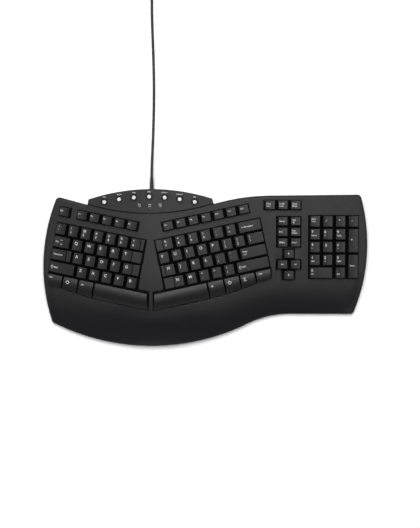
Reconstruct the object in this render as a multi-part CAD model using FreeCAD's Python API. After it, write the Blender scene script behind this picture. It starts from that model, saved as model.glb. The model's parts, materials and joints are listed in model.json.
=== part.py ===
import FreeCAD, Part
import math
import os

from FreeCAD import Placement, Rotation
from FreeCAD import Vector as V

# A split ergonomic desktop keyboard with a built-in palm rest, a number pad and a row of round
# hotkeys on a pod behind the keys. The housing is tented: it is highest on a ridge between the
# two hands and falls to both ends. Each hand's keys lie on a plane of their own, turned in plan,
# and the navigation keys and the number pad share a third plane.
# Millimetres. X runs along the keyboard to the right, Y to the back, Z up. The origin is on the
# desk, under the middle of the keyboard's own box.

# Housing outline in plan: the ends of its edges, and the middle point of each arc.
LEFT_BACK = (-220.3, 106.6)
LEFT_MIDDLE = (-242.1, 0.3)
LEFT_FRONT = (-229.5, -81.2)
FRONT_MIDDLE = (-84.0, -116.5)
FRONT_TURN = (57.0, -86.4)
FRONT_HOLLOW = (88.0, -73.9)
FRONT_STRAIGHT = (127.0, -68.6)
RIGHT_FRONT = (221.8, -68.6)
RIGHT_MIDDLE = (242.2, 34.1)
RIGHT_BACK = (231.3, 109.8)
BACK_STRAIGHT = (100.5, 108.0)
BACK_MIDDLE = (55.0, 104.6)
POD_RIGHT_ROOT = (12.0, 94.9)
POD_RIGHT = (10.8, 102.8)
POD_BACK = (-81.0, 116.5)
POD_LEFT = (-172.8, 101.9)
POD_LEFT_ROOT = (-173.8, 94.0)
POD_FRONT = (-82.6, 80.1)
CORNER_RADIUS = 6.0
POD_CORNER_RADIUS = 5.0
POD_ROOT_RADIUS = 2.0

# The deck: three planes that meet on a rounded ridge and a rounded bend, rising to the back.
RIDGE_X = -76.0
RIDGE_HEIGHT = 37.5
RIDGE_RADIUS = 250.0
BEND_X = 84.0
BEND_RADIUS = 500.0
LEFT_TILT = 6.5
RIGHT_TILT = -4.5
SIDE_TILT = -2.5
DECK_SLOPE = 3.0
EDGE_RADIUS = 4.0
PALM_EDGE_RADIUS = 3.0

# The palm rest: sections across it, each as X, the crease's Y, the front edge's Y and its height.
PALM_SECTIONS = [
    (-252.0, -22.0, -76.0, 9.0),
    (-215.0, -33.0, -89.0, 10.0),
    (-165.0, -49.0, -105.5, 11.0),
    (-120.0, -61.5, -114.0, 12.0),
    (-79.0, -67.4, -116.6, 13.0),
    (-34.0, -62.5, -113.5, 13.0),
    (4.0, -53.0, -105.8, 12.5),
    (43.0, -40.0, -92.5, 11.5),
    (75.0, -28.5, -78.5, 10.5),
    (105.0, -22.2, -70.5, 9.5),
    (150.0, -21.4, -68.6, 9.0),
    (252.0, -21.4, -68.6, 8.5),
]
CREASE_TURN = 5.0
PALM_RUN_UP = 12.0
PALM_RUN_OUT = 22.0

# The housing's shells. The bottom tray ends at the parting line, where the upper shell begins.
WALL = 2.5
FLOOR_HEIGHT = 2.0
FLOOR = 2.2
PARTING_HEIGHT = 6.0
TRAY_CHAMFER = 1.2
SKIRT_WALL = 1.4
POD_FLOOR_DEPTH = 3.0
POD_FLOOR = 2.0
POD_WALL = 1.0
POD_CLEARANCE = 0.25

# Screws and their bosses, from the front left round to the back.
SCREW_PLACES = [
    (-205.0, -58.0), (-120.0, -92.0), (10.0, -78.0), (200.0, -42.0),
    (222.0, 96.0), (78.0, 96.0), (-20.0, 93.0), (-150.0, 92.0),
]
BOSS_RADIUS = 3.5
SCREW_RADIUS = 1.3
SCREW_TIP = 11.5
SCREW_SPARE = 0.5
HEAD_RADIUS = 2.7
HEAD_HEIGHT = 1.6
SCREW_CLEARANCE = 0.1
SCREW_SLOT_WIDTH = 0.6
SCREW_SLOT_DEPTH = 0.7
SCREW_SINK = 0.2

# Feet and the two tilt legs that fold into the tray.
FOOT_PLACES = [
    (-216.0, -70.0), (-84.0, -104.0), (212.0, -57.0), (-150.0, 78.0), (180.0, 100.0),
]
FOOT_RADIUS = 5.5
FOOT_SEAT = 0.5
FOOT_CLEARANCE = 0.1
LEG_PLACES = {"tilt_leg_left": -192.0, "tilt_leg_right": 202.0}
LEG_PIVOT_Y = 86.0
LEG_LENGTH = 22.0
LEG_WIDTH = 26.0
LEG_THICKNESS = 5.0
LEG_WALL = 1.6
LEG_CLEARANCE = 0.3
LEG_PIN_RADIUS = 1.5
LEG_PIN_LENGTH = 1.6
PIN_CLEARANCE = 0.2
POCKET_WALL = 2.0
LEG_SINK = 0.2
NOTCH_WIDTH = 14.0
NOTCH_DEPTH = 3.6

# Round pieces are drawn with this many flat sides, and the smallest ones with fewer.
ROUND_SIDES = 12
SMALL_SIDES = 8

# Key planes: where the back left corner of each plane's grid lies in plan, and how its rows turn.
PITCH = 19.0
LEFT_CORNER = (-219.8, 69.5)
LEFT_YAW = -11.5
RIGHT_CORNER = (-196.3, 15.0)
RIGHT_YAW = 12.4
PAD_CORNER = (152.8, 79.1)

# Rows and columns, in pitches from the corner of the plane's grid.
LEFT_EDGE = 0.0
LEFT_INNER_EDGE = 7.25
RIGHT_INNER_EDGE = 6.5
RIGHT_EDGE = 15.0
FUNCTION_ROW_FRONT = 0.45
FUNCTION_ROW_DEPTH = 0.8
LEFT_FUNCTION_EDGE = 1.45
RIGHT_FUNCTION_EDGE = 7.32
SMALL_ROW = 0.826
NAVIGATION_GAP = 0.52
PRINT_ROW_BACK = 1.176
NAVIGATION_BACK = -0.08
ARROW_BACK = -2.613

# The front row of each hand: for each edge between keys, its back X, its front X and the depth
# of the row there, all in pitches. Its well overlaps the one behind it, in millimetres.
FRONT_ROW_BACK = -4.04
ROW_OVERLAP = 1.9
LEFT_FRONT_ROW = [
    (0.05, 0.20, 0.95),
    (1.37, 1.37, 1.02),
    (2.63, 2.63, 1.15),
    (3.885, 3.885, 1.326),
    (8.135, 8.405, 1.326),
]
RIGHT_FRONT_ROW = [
    (5.585, 5.29, 1.326),
    (9.825, 9.825, 1.326),
    (11.13, 11.13, 1.263),
    (12.39, 12.39, 1.137),
    (13.63, 13.63, 0.93),
    (14.98, 14.82, 0.83),
]

# Keycaps, measured square to their plane from the deck.
KEY_GAP = 0.4
KEY_TOP = 8.3
KEY_BOTTOM = -0.8
KEY_TRAVEL = 3.5
KEY_SIDE_TAPER = 2.3
KEY_END_TAPER = 1.4
KEY_WALL = 1.2
KEY_ROOF = 1.7
DISH_DEPTH = 0.5
DISH_REACH = 0.4
LEDGE_TOP = 5.6
CAPS_LOCK_MAIN = 1.4
ROLL_RADIUS = 30.0
ROLL_TAPER = 0.8
ROLL_CREST = 0.46
ROLL_CAVITY_TOP = 1.6
STEM = 5.2
STEM_GAP = 0.2
STEM_ROOT = 0.4
STEM_SHORT = 0.2
WIDE_KEY = 2.1
WIDE_KEY_POST = 0.62

# The layers under the keys, measured square to their plane from the deck.
SKIRT_BOTTOM = -4.5
FRAME_PLATE = 3.0
SHEET_TOP = -11.0
SHEET = 0.4
MEMBRANE = 0.5
BACKING = 1.0
FRAME_MARGIN = 2.0
DOME_BASE = 4.8
DOME_CROWN = 2.9
DOME_SIDES = 4
DOME_GAP = 0.1
SEAT_GAP = 0.05
POST_WIDTH = 5.0

# The pod's panel, its hotkeys and its indicator lamps.
PANEL_RISE = 2.5
PANEL_CHAMFER = 1.2
PANEL_RIM = 2.0
HOTKEY_PLACES = [(-148.6, 97.6), (-126.5, 101.4), (-104.6, 103.9), (-82.0, 105.0)]
HOTKEY_RADIUS = 3.2
HOTKEY_CLEARANCE = 0.3
HOTKEY_RISE = 0.7
HOTKEY_FLANGE = 4.6
HOTKEY_FLANGE_THICKNESS = 0.8
HOTKEY_TRAVEL = 1.0
HOTKEY_DISH = 1.2
HOTKEY_CROWN = 0.5
HOTKEY_STRIP = 0.8
STRIP_CLEARANCE = 1.0
LAMP_PLACES = [(-96.5, 88.4), (-81.2, 87.8), (-66.0, 88.7)]
LAMP_RADIUS = 1.2
LAMP_CLEARANCE = 0.1
LAMP_RISE = 0.2
LAMP_FLANGE = 2.0
LAMP_FLANGE_THICKNESS = 0.7

# The controller board under the pod, and the strain relief in the back wall.
BOARD_X = -80.0
BOARD_Y = 94.0
BOARD_HEIGHT = 15.0
BOARD_LENGTH = 90.0
BOARD_WIDTH = 20.0
BOARD_THICKNESS = 1.6
BOARD_POST_INSET = 4.0
CORD_X = -80.1
CORD_EXIT_HEIGHT = 12.0
CORD_RADIUS = 2.0
RELIEF_LENGTH = 18.0
RELIEF_RADIUS = 4.0
RELIEF_COLLAR = 5.2
RELIEF_NECK = 3.2
RELIEF_TIP = 2.6
RELIEF_PLATE = 2.0
RELIEF_GROOVES = 3
RELIEF_GROOVE = 0.6
RELIEF_SEAT = 0.1

# The cord behind the keyboard: from the strain relief it drops to the desk and runs straight back.
CORD_ROUTE = [
    (-80.1, 148.0, 12.0),
    (-79.8, 166.0, 5.4),
    (-79.0, 190.0, 2.0),
    (-77.6, 232.0, 2.0),
    (-77.2, 280.0, 2.0),
    (-78.6, 330.0, 2.0),
    (-80.4, 376.0, 2.0),
    (-80.6, 412.0, 2.4),
    (-80.6, 440.0, 2.9),
]
CORD_SIDES = 5
ROUNDED_SHARE = 0.45

# The rest of the cord, wound for storage just past the end of that run.
COIL_RADIUS = 22.5
COIL_LAYERS = 4
TURNS_IN_LAYER = 2.5
COIL_PITCH = 4.6
COIL_LIFT = 0.9
TAIL_TURN = 0.25
TAIL_RADIUS = 13.0
TAIL_RUN = 4.0
TIE_THICKNESS = 0.7
TIE_WIDTH = 5.0
TIE_GAP = 0.1

PLUG_GAP = 0.2
PLUG_WIDTH = 12.5
PLUG_HEIGHT = 7.4
PLUG_LENGTH = 20.0
PLUG_SHELL_WIDTH = 12.0
PLUG_SHELL_HEIGHT = 4.5
PLUG_SHELL_LENGTH = 12.0
PLUG_SHELL_WALL = 0.3
PLUG_SHELL_ROOT = 2.0
PLUG_CHAMFER = 1.0


def tangent(degrees):
    return math.tan(math.radians(degrees))


BEND_HEIGHT = RIDGE_HEIGHT + (BEND_X - RIDGE_X) * tangent(RIGHT_TILT)

# How far cutting shapes reach: to the sides, to the back and front, up, down, and past a face.
REACH = 270.0
BEHIND = 150.0
ABOVE = 90.0
BELOW = -60.0
PAST = 1.0


def deck_height(x, y):
    """How high the deck's planes are at a place in plan, without the rounding between them."""
    rise = y * tangent(DECK_SLOPE)
    if x < RIDGE_X:
        return RIDGE_HEIGHT + (x - RIDGE_X) * tangent(LEFT_TILT) + rise
    if x < BEND_X:
        return RIDGE_HEIGHT + (x - RIDGE_X) * tangent(RIGHT_TILT) + rise
    return BEND_HEIGHT + (x - BEND_X) * tangent(SIDE_TILT) + rise


def key_plane(corner, yaw, start_x, start_height, tilt):
    """A plane of keys: X along its rows, Z square to the deck, its origin over the grid's corner."""
    across = tangent(tilt)
    up = tangent(DECK_SLOPE)
    height = start_height + (corner[0] - start_x) * across + corner[1] * up
    normal = V(-across, -up, 1)
    turn = math.radians(yaw)
    along = V(math.cos(turn), math.sin(turn), across * math.cos(turn) + up * math.sin(turn))
    return Placement(
        V(corner[0], corner[1], height),
        Rotation(along, normal.cross(along), normal, "ZXY"),
    )


PLANES = {
    "left": key_plane(LEFT_CORNER, LEFT_YAW, RIDGE_X, RIDGE_HEIGHT, LEFT_TILT),
    "right": key_plane(RIGHT_CORNER, RIGHT_YAW, RIDGE_X, RIDGE_HEIGHT, RIGHT_TILT),
    "side": key_plane(PAD_CORNER, 0.0, BEND_X, BEND_HEIGHT, SIDE_TILT),
}


def placed(shape, plane):
    """A shape moved from a key plane's own frame into the shared one."""
    shape.Placement = PLANES[plane].multiply(shape.Placement)
    return shape


def fused(shapes):
    """One clean solid, or compound, of shapes that touch or overlap."""
    whole = shapes[0]
    if len(shapes) > 1:
        whole = whole.multiFuse(shapes[1:])
    return whole.removeSplitter()


def box(x0, x1, y0, y1, z0, z1):
    return Part.makeBox(x1 - x0, y1 - y0, z1 - z0, V(x0, y0, z0))


def ring(radius, place, z, sides=ROUND_SIDES):
    """A regular polygon about a place in plan, with one flat to the front."""
    corners = []
    for i in range(sides):
        angle = 2 * math.pi * (i + 0.5) / sides - math.pi / 2
        corners.append((place[0] + radius * math.cos(angle), place[1] + radius * math.sin(angle)))
    return polygon(corners, z)


def drum(radius, z0, z1, end_radius=None, place=(0.0, 0.0), sides=ROUND_SIDES):
    """An upright many-sided drum, which may taper to another radius at its top."""
    top_radius = radius if end_radius is None else end_radius
    rings = [ring(radius, place, z0, sides), ring(top_radius, place, z1, sides)]
    return Part.makeLoft(rings, True, True)


def upright(radius, place, z0, z1, sides=SMALL_SIDES):
    return drum(radius, z0, z1, place=place, sides=sides)


def lying(radius, x0, x1, y, z):
    """A round bar along X."""
    return Part.makeCylinder(radius, x1 - x0, V(x0, y, z), V(1, 0, 0))


def polygon(points, z=0.0):
    corners = [V(x, y, z) for x, y in points]
    return Part.makePolygon(corners + corners[:1])


def prism(face, z0, z1):
    solid = face.extrude(V(0, 0, z1 - z0))
    solid.translate(V(0, 0, z0))
    return solid


def arc_edge(start, middle, end):
    return Part.Arc(V(*start, 0), V(*middle, 0), V(*end, 0)).toShape()


def line_edge(start, end):
    return Part.makeLine(V(*start, 0), V(*end, 0))


def rounded_path(points, radii):
    """Straight runs through the points, with a tangent arc of its own radius at each inner one."""
    edges = []
    start = points[0]
    for before, corner, after, radius in zip(points, points[1:], points[2:], radii):
        back = (before - corner).normalize()
        on = (after - corner).normalize()
        half = back.getAngle(on) / 2
        reach = radius / math.tan(half)
        middle = corner + (back + on).normalize() * (radius / math.sin(half) - radius)
        edges.append(Part.makeLine(start, corner + back * reach))
        edges.append(Part.Arc(corner + back * reach, middle, corner + on * reach).toShape())
        start = corner + on * reach
    edges.append(Part.makeLine(start, points[-1]))
    return edges


# The housing's outline and its skins


def outline_face():
    """The housing in plan, with sharp corners."""
    return Part.Face(Part.Wire([
        arc_edge(LEFT_BACK, LEFT_MIDDLE, LEFT_FRONT),
        arc_edge(LEFT_FRONT, FRONT_MIDDLE, FRONT_TURN),
        arc_edge(FRONT_TURN, FRONT_HOLLOW, FRONT_STRAIGHT),
        line_edge(FRONT_STRAIGHT, RIGHT_FRONT),
        arc_edge(RIGHT_FRONT, RIGHT_MIDDLE, RIGHT_BACK),
        line_edge(RIGHT_BACK, BACK_STRAIGHT),
        arc_edge(BACK_STRAIGHT, BACK_MIDDLE, POD_RIGHT_ROOT),
        line_edge(POD_RIGHT_ROOT, POD_RIGHT),
        arc_edge(POD_RIGHT, POD_BACK, POD_LEFT),
        line_edge(POD_LEFT, POD_LEFT_ROOT),
        line_edge(POD_LEFT_ROOT, LEFT_BACK),
    ]))


def upright_edges(solid, places):
    """The upright edges of a prism that stand over the given places."""
    edges = []
    for edge in solid.Edges:
        foot = edge.Vertexes[0].Point
        head = edge.Vertexes[-1].Point
        standing = abs(foot.z - head.z) > 0.5 and math.hypot(foot.x - head.x, foot.y - head.y) < 0.01
        if standing and any(math.hypot(foot.x - x, foot.y - y) < 0.01 for x, y in places):
            edges.append(edge)
    return edges


def housing_prism(z0, z1):
    """The outline as a prism, with its corners rounded."""
    solid = prism(outline_face(), z0, z1)
    corners = [LEFT_BACK, LEFT_FRONT, RIGHT_FRONT, RIGHT_BACK]
    solid = solid.makeFillet(CORNER_RADIUS, upright_edges(solid, corners))
    solid = solid.makeFillet(POD_CORNER_RADIUS, upright_edges(solid, [POD_RIGHT, POD_LEFT]))
    roots = [POD_RIGHT_ROOT, POD_LEFT_ROOT]
    return solid.makeFillet(POD_ROOT_RADIUS, upright_edges(solid, roots))


def inner_prism(inset, z0, z1):
    return prism(outline_face().makeOffset2D(-inset), z0, z1)


def under_deck(drop):
    """All that lies below the deck, lowered by a drop."""
    corners = (-REACH, RIDGE_X, BEND_X, REACH)
    points = [V(x, -BEHIND, deck_height(x, -BEHIND) - drop) for x in corners]
    edges = rounded_path(points, [RIDGE_RADIUS, BEND_RADIUS])
    right_foot = V(REACH, -BEHIND, BELOW)
    left_foot = V(-REACH, -BEHIND, BELOW)
    edges.append(Part.makeLine(points[-1], right_foot))
    edges.append(Part.makeLine(right_foot, left_foot))
    edges.append(Part.makeLine(left_foot, points[0]))
    length = 2 * BEHIND
    return Part.Face(Part.Wire(edges)).extrude(V(0, length, length * tangent(DECK_SLOPE)))


def palm_section(x, crease_y, front_y, front_height, drop):
    """One section of all that lies below the palm rest and behind its crease."""
    rise = deck_height(x, crease_y) - front_height
    chord = math.hypot(crease_y - front_y, rise)
    steepness = math.atan2(rise, crease_y - front_y)
    start = math.radians(DECK_SLOPE + CREASE_TURN)
    radius = chord / 2 / math.sin(steepness - start)
    centre_y = crease_y + radius * math.sin(start)
    centre_z = front_height + rise - drop - radius * math.cos(start)

    def on_arc(angle):
        return V(x, centre_y - radius * math.sin(angle), centre_z + radius * math.cos(angle))

    first = start - PALM_RUN_UP / radius
    last = 2 * steepness - start + PALM_RUN_OUT / radius
    upper = on_arc(first)
    lower = on_arc(last)
    corners = [
        V(x, upper.y, ABOVE), V(x, BEHIND, ABOVE), V(x, BEHIND, BELOW), V(x, lower.y, BELOW),
    ]
    edges = [Part.Arc(lower, on_arc((first + last) / 2), upper).toShape()]
    for a, b in zip([upper] + corners, corners + [lower]):
        edges.append(Part.makeLine(a, b))
    return Part.Wire(edges)


def under_palm(drop, faceted=False):
    return Part.makeLoft([palm_section(*section, drop) for section in PALM_SECTIONS], True, faceted)


def face_is_upright(face):
    u0, u1, v0, v1 = face.ParameterRange
    return abs(face.normalAt((u0 + u1) / 2, (v0 + v1) / 2).z) < 0.02


def rim_edges(solid, lowest, wanted):
    """The edges where a top face meets an upright wall, among those that a test accepts."""
    edges = []
    for edge in solid.Edges:
        faces = solid.ancestorsOfType(edge, Part.Face)
        if len(faces) != 2 or edge.BoundBox.ZMin < lowest:
            continue
        if face_is_upright(faces[0]) != face_is_upright(faces[1]) and wanted(edge):
            edges.append(edge)
    return edges


def housing_body():
    """The upper shell's outside, as a full solid with its edges rounded over."""
    deck = housing_prism(PARTING_HEIGHT, ABOVE).common(under_deck(0))
    deck = deck.makeFillet(EDGE_RADIUS, rim_edges(deck, PARTING_HEIGHT + 0.1, lambda edge: True))
    palm = housing_prism(PARTING_HEIGHT, ABOVE).common(under_palm(0))

    def on_front(edge):
        middle = edge.valueAt((edge.FirstParameter + edge.LastParameter) / 2)
        on_crease = edge.BoundBox.XLength > RIGHT_MIDDLE[0] * 1.8
        return edge.BoundBox.ZMax < ABOVE - 1 and middle.y < 0 and not on_crease

    palm = palm.makeFillet(PALM_EDGE_RADIUS, rim_edges(palm, PARTING_HEIGHT + 0.1, on_front))
    return deck.common(palm)


def housing_cavity(inset, drop):
    body = inner_prism(inset, BELOW, ABOVE).common(under_deck(drop))
    return body.common(under_palm(drop, True))


# Keys


def crossing(a, b, c, d):
    """Where the line through a and b meets the line through c and d."""
    along = (b[0] - a[0], b[1] - a[1])
    across = (d[0] - c[0], d[1] - c[1])
    scale = along[0] * across[1] - along[1] * across[0]
    share = ((c[0] - a[0]) * across[1] - (c[1] - a[1]) * across[0]) / scale
    return (a[0] + along[0] * share, a[1] + along[1] * share)


def shrunk(corners, front, right, back, left):
    """Four corners, from the front left one round to the right, with each side moved inwards."""
    lines = []
    for i, inset in enumerate((front, right, back, left)):
        a = corners[i]
        b = corners[(i + 1) % 4]
        length = math.hypot(b[0] - a[0], b[1] - a[1])
        shift = (-(b[1] - a[1]) / length * inset, (b[0] - a[0]) / length * inset)
        lines.append(((a[0] + shift[0], a[1] + shift[1]), (b[0] + shift[0], b[1] + shift[1])))
    return [crossing(*lines[i - 1], *lines[i]) for i in range(4)]


def tapered(lower, z0, upper, z1):
    return Part.makeLoft([polygon(lower, z0), polygon(upper, z1)], True, True)


def rectangle(x0, x1, y0, y1):
    return [(x0, y0), (x1, y0), (x1, y1), (x0, y1)]


def middle_of(corners):
    return (sum(x for x, y in corners) / 4, sum(y for x, y in corners) / 4)


def posts_under(corners):
    """The places of a key's posts: one in the middle, and one near each end of a wide key."""
    x, y = middle_of(corners)
    width = corners[1][0] - corners[0][0]
    places = [(x, y)]
    if width > WIDE_KEY * PITCH:
        reach = width / 2 - WIDE_KEY_POST * PITCH
        places += [(x - reach, y), (x + reach, y)]
    return places


def hollow(corners, side, end, top):
    """The space under a keycap's roof."""
    base = shrunk(corners, *[KEY_GAP + KEY_WALL] * 4)
    share = (top - KEY_BOTTOM) / (KEY_TOP - KEY_BOTTOM)
    roof = shrunk(base, end * share, side * share, end * share, side * share)
    return tapered(base, KEY_BOTTOM, roof, top)


def finished_key(shell, space, corners, roof):
    """A keycap's outside less its hollow, with the posts that reach down through the guides."""
    posts = []
    for x, y in posts_under(corners):
        half = STEM / 2
        posts.append(box(x - half, x + half, y - half, y + half, STEM_BOTTOM, roof + STEM_ROOT))
    return fused([shell.cut(space)] + posts)


def dished_key(corners, ledge_left, ledge_right):
    """A tapered keycap with a dished top, and a lower ledge where the cell is wider than its top."""
    main = list(corners)
    if ledge_left:
        main[0] = (main[0][0] + ledge_left, main[0][1])
        main[3] = (main[3][0] + ledge_left, main[3][1])
    if ledge_right:
        main[1] = (main[1][0] - ledge_right, main[1][1])
        main[2] = (main[2][0] - ledge_right, main[2][1])
    side = KEY_SIDE_TAPER
    end = KEY_END_TAPER
    foot = shrunk(main, KEY_GAP, KEY_GAP, KEY_GAP, KEY_GAP)
    crown = shrunk(foot, end, side, end, side)
    shell = tapered(foot, KEY_BOTTOM, crown, KEY_TOP)
    half = (crown[1][0] - crown[0][0]) / 2 + DISH_REACH
    radius = (half * half + DISH_DEPTH * DISH_DEPTH) / (2 * DISH_DEPTH)
    x, y = middle_of(main)
    length = main[3][1] - main[0][1]
    dish_start = V(x, y - length / 2, KEY_TOP + radius - DISH_DEPTH)
    shell = shell.cut(Part.makeCylinder(radius, length, dish_start, V(0, 1, 0)))
    space = hollow(main, side, end, KEY_TOP - DISH_DEPTH - KEY_ROOF)
    if ledge_left or ledge_right:
        share = (LEDGE_TOP - KEY_BOTTOM) / (KEY_TOP - KEY_BOTTOM)
        wide_foot = shrunk(corners, KEY_GAP, KEY_GAP, KEY_GAP, KEY_GAP)
        wide_crown = shrunk(wide_foot, end * share, side * share, end * share, side * share)
        step = tapered(wide_foot, KEY_BOTTOM, wide_crown, LEDGE_TOP)
        shell = shell.fuse(step)
        space = space.fuse(hollow(corners, side, end, LEDGE_TOP - KEY_ROOF))
    return finished_key(shell, space, main, KEY_TOP - DISH_DEPTH - KEY_ROOF)


def rolled_key(corners):
    """A front-row key, whose top rolls over towards the palm rest."""
    foot = shrunk(corners, KEY_GAP, KEY_GAP, KEY_GAP, KEY_GAP)
    crown = shrunk(foot, ROLL_TAPER, ROLL_TAPER, ROLL_TAPER, ROLL_TAPER)
    shell = tapered(foot, KEY_BOTTOM, crown, KEY_TOP + PAST)
    crest = corners[2][1] - ROLL_CREST * PITCH
    x0 = min(x for x, y in corners) - PAST
    x1 = max(x for x, y in corners) + PAST
    axis_start = V(x0, crest, KEY_TOP - ROLL_RADIUS)
    shell = shell.common(Part.makeCylinder(ROLL_RADIUS, x1 - x0, axis_start, V(1, 0, 0)))
    space = hollow(corners, ROLL_TAPER, ROLL_TAPER, ROLL_CAVITY_TOP)
    return finished_key(shell, space, corners, ROLL_CAVITY_TOP)


STEM_BOTTOM = SKIRT_BOTTOM - FRAME_PLATE + STEM_SHORT


def cells_in_row(first, widths, row):
    """The cells of a row of keys, from its first edge on, with all sizes in pitches."""
    front, back = row
    cells = []
    x = first
    for width in widths:
        cells.append(rectangle(x * PITCH, (x + width) * PITCH, front * PITCH, back * PITCH))
        x += width
    return cells


def front_row_cells(edges):
    """The cells of a hand's front row, between neighbouring edges."""
    cells = []
    for (back_a, front_a, depth_a), (back_b, front_b, depth_b) in zip(edges, edges[1:]):
        cells.append([
            (front_a * PITCH, (FRONT_ROW_BACK - depth_a) * PITCH),
            (front_b * PITCH, (FRONT_ROW_BACK - depth_b) * PITCH),
            (back_b * PITCH, FRONT_ROW_BACK * PITCH),
            (back_a * PITCH, FRONT_ROW_BACK * PITCH),
        ])
    return cells


FUNCTION_ROW = (FUNCTION_ROW_FRONT, FUNCTION_ROW_FRONT + FUNCTION_ROW_DEPTH)
NUMBER_ROW = (-1, 0)
UPPER_ROW = (-2, -1)
HOME_ROW = (-3, -2)
LOWER_ROW = (-4, -3)
PAD_FRONT_ROW = (-5, -4)

# The rows of both hands and of the number pad: node, plane, the row's front and back, its first
# edge, the keys' widths, and the ledges at the left of the first key and the right of the last.
ROWS = [
    ("escape_key", "left", FUNCTION_ROW, LEFT_EDGE, [1], 0, 0),
    ("left_function_keys", "left", FUNCTION_ROW, LEFT_FUNCTION_EDGE, [1] * 5, 0, 0),
    ("left_number_keys", "left", NUMBER_ROW, LEFT_EDGE, [1] * 6 + [1.25], 0, 0.25),
    ("tab_key", "left", UPPER_ROW, LEFT_EDGE, [1.5], 0, 0),
    ("left_upper_letter_keys", "left", UPPER_ROW, 1.5, [1] * 4 + [1.75], 0, 0.75),
    ("caps_lock_key", "left", HOME_ROW, LEFT_EDGE, [1.75], 0, 1.75 - CAPS_LOCK_MAIN),
    ("left_home_letter_keys", "left", HOME_ROW, 1.75, [1] * 4 + [1.5], 0, 0.5),
    ("left_shift_key", "left", LOWER_ROW, LEFT_EDGE, [2.25], 0, 0),
    ("left_lower_letter_keys", "left", LOWER_ROW, 2.25, [1] * 5, 0, 0),
    ("right_function_keys", "right", FUNCTION_ROW, RIGHT_FUNCTION_EDGE, [1] * 7, 0, 0),
    ("right_number_keys", "right", NUMBER_ROW, RIGHT_INNER_EDGE, [1.5] + [1] * 5, 0.5, 0),
    ("backspace_key", "right", NUMBER_ROW, 13, [2], 0, 0),
    ("right_upper_letter_keys", "right", UPPER_ROW, RIGHT_INNER_EDGE, [1] * 7 + [1.5], 0, 0),
    ("right_home_letter_keys", "right", HOME_ROW, RIGHT_INNER_EDGE, [1.25] + [1] * 5, 0.25, 0),
    ("enter_key", "right", HOME_ROW, 12.75, [2.25], 0, 0),
    ("right_lower_letter_keys", "right", LOWER_ROW, RIGHT_INNER_EDGE, [1.75] + [1] * 4, 0.75, 0),
    ("right_shift_key", "right", LOWER_ROW, 12.25, [2.75], 0, 0),
    ("pad_operator_keys", "side", NUMBER_ROW, 0, [1] * 4, 0, 0),
    ("pad_upper_digit_keys", "side", UPPER_ROW, 0, [1] * 3, 0, 0),
    ("pad_plus_key", "side", (-3, -1), 3, [1], 0, 0),
    ("pad_middle_digit_keys", "side", HOME_ROW, 0, [1] * 3, 0, 0),
    ("pad_lower_digit_keys", "side", LOWER_ROW, 0, [1] * 3, 0, 0),
    ("pad_enter_key", "side", (-5, -3), 3, [1], 0, 0),
    ("pad_zero_key", "side", PAD_FRONT_ROW, 0, [2], 0, 0),
    ("pad_lower_digit_keys", "side", PAD_FRONT_ROW, 2, [1], 0, 0),
]

# The small keys left of the number pad: node, their back edge, how many rows, and each column's
# place, counted in pitches from the right edge of the group.
ARROW_SIDE_BACK = ARROW_BACK - SMALL_ROW
ARROW_DOWN_BACK = ARROW_BACK - 2 * SMALL_ROW
SMALL_GROUPS = [
    ("print_keys", PRINT_ROW_BACK, 1, [-3, -2, -1]),
    ("navigation_keys", NAVIGATION_BACK, 3, [-2, -1]),
    ("arrow_keys", ARROW_BACK, 1, [-1.5]),
    ("arrow_keys", ARROW_SIDE_BACK, 1, [-2, -1]),
    ("arrow_keys", ARROW_DOWN_BACK, 1, [-1.5]),
]

# Front-row keys: node, plane, and which cells of the front row it holds.
FRONT_GROUPS = [
    ("left_modifier_keys", "left", LEFT_FRONT_ROW, [0, 1, 2]),
    ("left_space_key", "left", LEFT_FRONT_ROW, [3]),
    ("right_space_key", "right", RIGHT_FRONT_ROW, [0]),
    ("right_modifier_keys", "right", RIGHT_FRONT_ROW, [1, 2, 3, 4]),
]


def small_cell(back, row, column):
    right = (column - NAVIGATION_GAP + 1) * PITCH
    top = (back - row * SMALL_ROW) * PITCH
    return rectangle(right - PITCH, right, top - SMALL_ROW * PITCH, top)


def make_keys():
    """Every keycap by node, and the places of all posts and of the middle posts by plane."""
    keys = {}
    posts = {plane: [] for plane in PLANES}
    centres = {plane: [] for plane in PLANES}

    def add(node, plane, key, cell):
        keys.setdefault(node, []).append(placed(key, plane))
        posts[plane] += posts_under(cell)
        centres[plane].append(middle_of(cell))

    for node, plane, row, first, widths, ledge_left, ledge_right in ROWS:
        cells = cells_in_row(first, widths, row)
        for i, cell in enumerate(cells):
            left = ledge_left * PITCH if i == 0 else 0
            right = ledge_right * PITCH if i == len(cells) - 1 else 0
            main = rectangle(cell[0][0] + left, cell[1][0] - right, cell[0][1], cell[3][1])
            add(node, plane, dished_key(cell, left, right), main)
    for node, back, rows, columns in SMALL_GROUPS:
        for row in range(rows):
            for column in columns:
                cell = small_cell(back, row, column)
                add(node, "side", dished_key(cell, 0, 0), cell)
    for node, plane, edges, chosen in FRONT_GROUPS:
        cells = front_row_cells(edges)
        for i in chosen:
            add(node, plane, rolled_key(cells[i]), cells[i])
    return keys, posts, centres


# Wells and the layers under the keys


def joined_face(polygons):
    """One flat face over polygons that touch or overlap."""
    faces = [Part.Face(polygon(points)) for points in polygons]
    return fused(faces).Faces[0]


def front_row_outline(edges):
    cells = front_row_cells(edges)
    fronts = [cell[0] for cell in cells] + [cells[-1][1]]
    back_right = cells[-1][2]
    back_left = cells[0][3]
    above = back_left[1] + ROW_OVERLAP
    return fronts + [back_right, (back_right[0], above), (back_left[0], above), back_left]


def row_band(first, last, row):
    front, back = row
    return rectangle(first * PITCH, last * PITCH, front * PITCH, back * PITCH)


def small_band(back, rows, columns):
    cells = [small_cell(back, row, column) for row in (0, rows - 1) for column in columns]
    xs = [x for cell in cells for x, y in cell]
    ys = [y for cell in cells for x, y in cell]
    return rectangle(min(xs), max(xs), min(ys), max(ys))


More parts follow.
